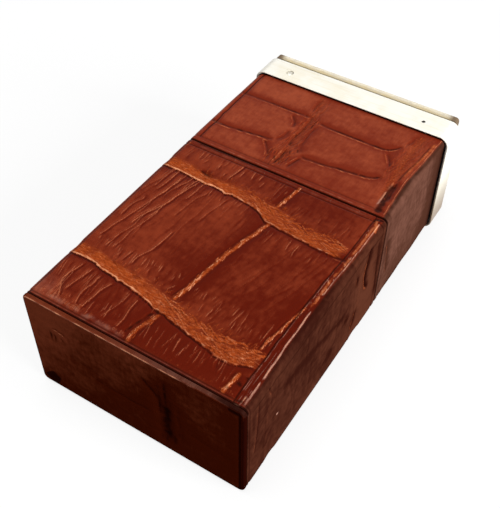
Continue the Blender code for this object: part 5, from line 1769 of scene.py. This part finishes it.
class PINBOX_OT_boards(PieceOperator, bpy.types.Operator):
    """Give the boards, the lip and the lining their wood and paper"""

    bl_idname = "pin_box.boards"
    bl_label = "Boards, Lip and Lining"

    def execute(self, context):
        settings = self.settings(context, "pin_box_inside")
        edge = millimetres(settings, "eased_edge")
        along = planed_cedar("cedar_planed", settings.cedar, settings.cedar_grain, 0.6, False)
        across = planed_cedar("cedar_planed_end_boards", settings.cedar, settings.cedar_grain, 0.6, True)
        waxed = planed_cedar("cedar_planed_waxed", settings.lip, settings.lip_grain, 0.34, False)
        paper = pasted_paper(settings)
        for body in ("lid", "cup"):
            for side in ("upper", "lower", "left", "right", "end"):
                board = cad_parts[f"{body}_board_{side}"]
                board.data.materials[0] = across if side == "end" else along
        for side in ("upper", "lower", "left", "right", "end"):
            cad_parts[f"lid_lining_{side}"].data.materials[0] = paper
        for side in ("upper", "lower", "left", "right"):
            # Its length runs along X above and below, and along Z at the sides
            run = 0 if side in ("upper", "lower") else 2
            piece = eased_copy(f"lip_{side}", f"waxed_lip_{side}", edge, run, GLUE_LINE)
            finish_piece(piece, waxed, "cup", "lip", f"lip_{side}")
        return {"FINISHED"}


# Where the camera stands, in metres, and how it is turned, in degrees
CAMERA_PLACE = (0.065864, -0.113125, 0.150001)
CAMERA_TURN = (43.1656, -0.5825, 32.0633)
# The lamps point here, near the middle of the box
LIT_PLACE = Vector((0, 0, 0.02))


class PINBOX_OT_stage(PieceOperator, bpy.types.Operator):
    """Set the floor, the lights and the camera"""

    bl_idname = "pin_box.stage"
    bl_label = "Stage"

    def execute(self, context):
        settings = self.settings(context, "pin_box_stage")
        scene = context.scene
        half = settings.floor_size / 2 / MM
        floor = mesh_object("floor", [(-half, -half, 0), (half, -half, 0), (half, half, 0), (-half, half, 0)],
                            [(0, 1, 2, 3)])
        floor.data.materials.append(pale_floor(settings))
        for name, location, size, power in (
            ("key_lamp", (-0.14, -0.08, 0.85), 0.55, settings.key_power),
            ("fill_lamp", (0.8, -0.05, 0.3), 0.5, settings.fill_power),
        ):
            lamp = bpy.data.lights.new(name, "AREA")
            lamp.energy = power
            lamp.size = size
            stand = new_object(name, lamp)
            stand.location = location
            stand.rotation_euler = (LIT_PLACE - Vector(location)).to_track_quat("-Z", "Y").to_euler()
        lens = bpy.data.cameras.new("camera")
        lens.lens = settings.lens
        lens.sensor_width = 36
        lens.clip_start = 0.01
        camera = new_object("camera", lens)
        camera.location = CAMERA_PLACE
        camera.rotation_euler = Euler([math.radians(angle) for angle in CAMERA_TURN], "XYZ")
        scene.camera = camera
        scene.world = room_light(settings)
        scene.view_settings.view_transform = "Standard"
        return {"FINISHED"}


def seen_directly(tree):
    """1 for what the camera sees, straight, mirrored or through glass, and 0 for light that falls on
    things."""
    path = node(tree, "ShaderNodeLightPath").outputs
    seen = calculate(tree, "MAXIMUM", path["Is Camera Ray"], path["Is Glossy Ray"])
    return calculate(tree, "MAXIMUM", seen, path["Is Transmission Ray"])


def pale_floor(settings):
    """Matt paper floor, seen white, which keeps a soft shadow."""
    material = bpy.data.materials.new("paper_floor_matt")
    material.use_nodes = True
    tree = material.node_tree
    tree.nodes.clear()
    # Where it is seen it mostly glows, and the rest of it takes the shadow
    seen = seen_directly(tree)
    colour = blend(tree, seen, settings.floor_colour, WHITE)
    plain = node(tree, "ShaderNodeBsdfDiffuse", {"Color": colour}).outputs[0]
    glow = node(tree, "ShaderNodeEmission", {"Color": WHITE, "Strength": 1.0}).outputs[0]
    mixed = node(tree, "ShaderNodeMixShader", {0: times(tree, seen, settings.floor_glow), 1: plain, 2: glow})
    node(tree, "ShaderNodeOutputMaterial", {"Surface": mixed.outputs[0]})
    return material


def room_light(settings):
    """An even pale room, seen white."""
    world = bpy.data.worlds.new("room")
    world.use_nodes = True
    tree = world.node_tree
    tree.nodes.clear()
    strength = stretch(tree, seen_directly(tree), 0.0, 1.0, settings.room, 1.0)
    background = node(tree, "ShaderNodeBackground", {"Color": WHITE, "Strength": strength})
    node(tree, "ShaderNodeOutputWorld", {"Surface": background.outputs[0]})
    return world


class PINBOX_PT_panel(bpy.types.Panel):
    """Lists the pieces of the box"""

    bl_idname = "PINBOX_PT_panel"
    bl_label = "Pin Box"
    bl_space_type = "VIEW_3D"
    bl_region_type = "UI"
    bl_category = "Pin Box"

    def draw(self, context):
        for operator in OPERATORS:
            self.layout.operator(operator.bl_idname)
        for name in SETTINGS:
            box = self.layout.box()
            settings = getattr(context.scene, name)
            for field in settings.bl_rna.properties:
                if field.identifier not in ("rna_type", "name"):
                    box.prop(settings, field.identifier)


OPERATORS = (
    PINBOX_OT_stage,
    PINBOX_OT_lid_hide,
    PINBOX_OT_end_hide,
    PINBOX_OT_cup_hide,
    PINBOX_OT_collar,
    PINBOX_OT_collar_pins,
    PINBOX_OT_pads,
    PINBOX_OT_boards,
)


def register():
    for group in SETTINGS.values():
        bpy.utils.register_class(group)
    for name, group in SETTINGS.items():
        setattr(bpy.types.Scene, name, PointerProperty(type=group))
    for operator in OPERATORS:
        bpy.utils.register_class(operator)
    bpy.utils.register_class(PINBOX_PT_panel)


def unregister():
    bpy.utils.unregister_class(PINBOX_PT_panel)
    for operator in reversed(OPERATORS):
        bpy.utils.unregister_class(operator)
    for name in SETTINGS:
        delattr(bpy.types.Scene, name)
    for group in SETTINGS.values():
        bpy.utils.unregister_class(group)


def main():
    register()
    for operator in OPERATORS:
        category, name = operator.bl_idname.split(".")
        getattr(getattr(bpy.ops, category), name)()
    bpy.context.view_layer.update()


if __name__ == "__main__":
    main()
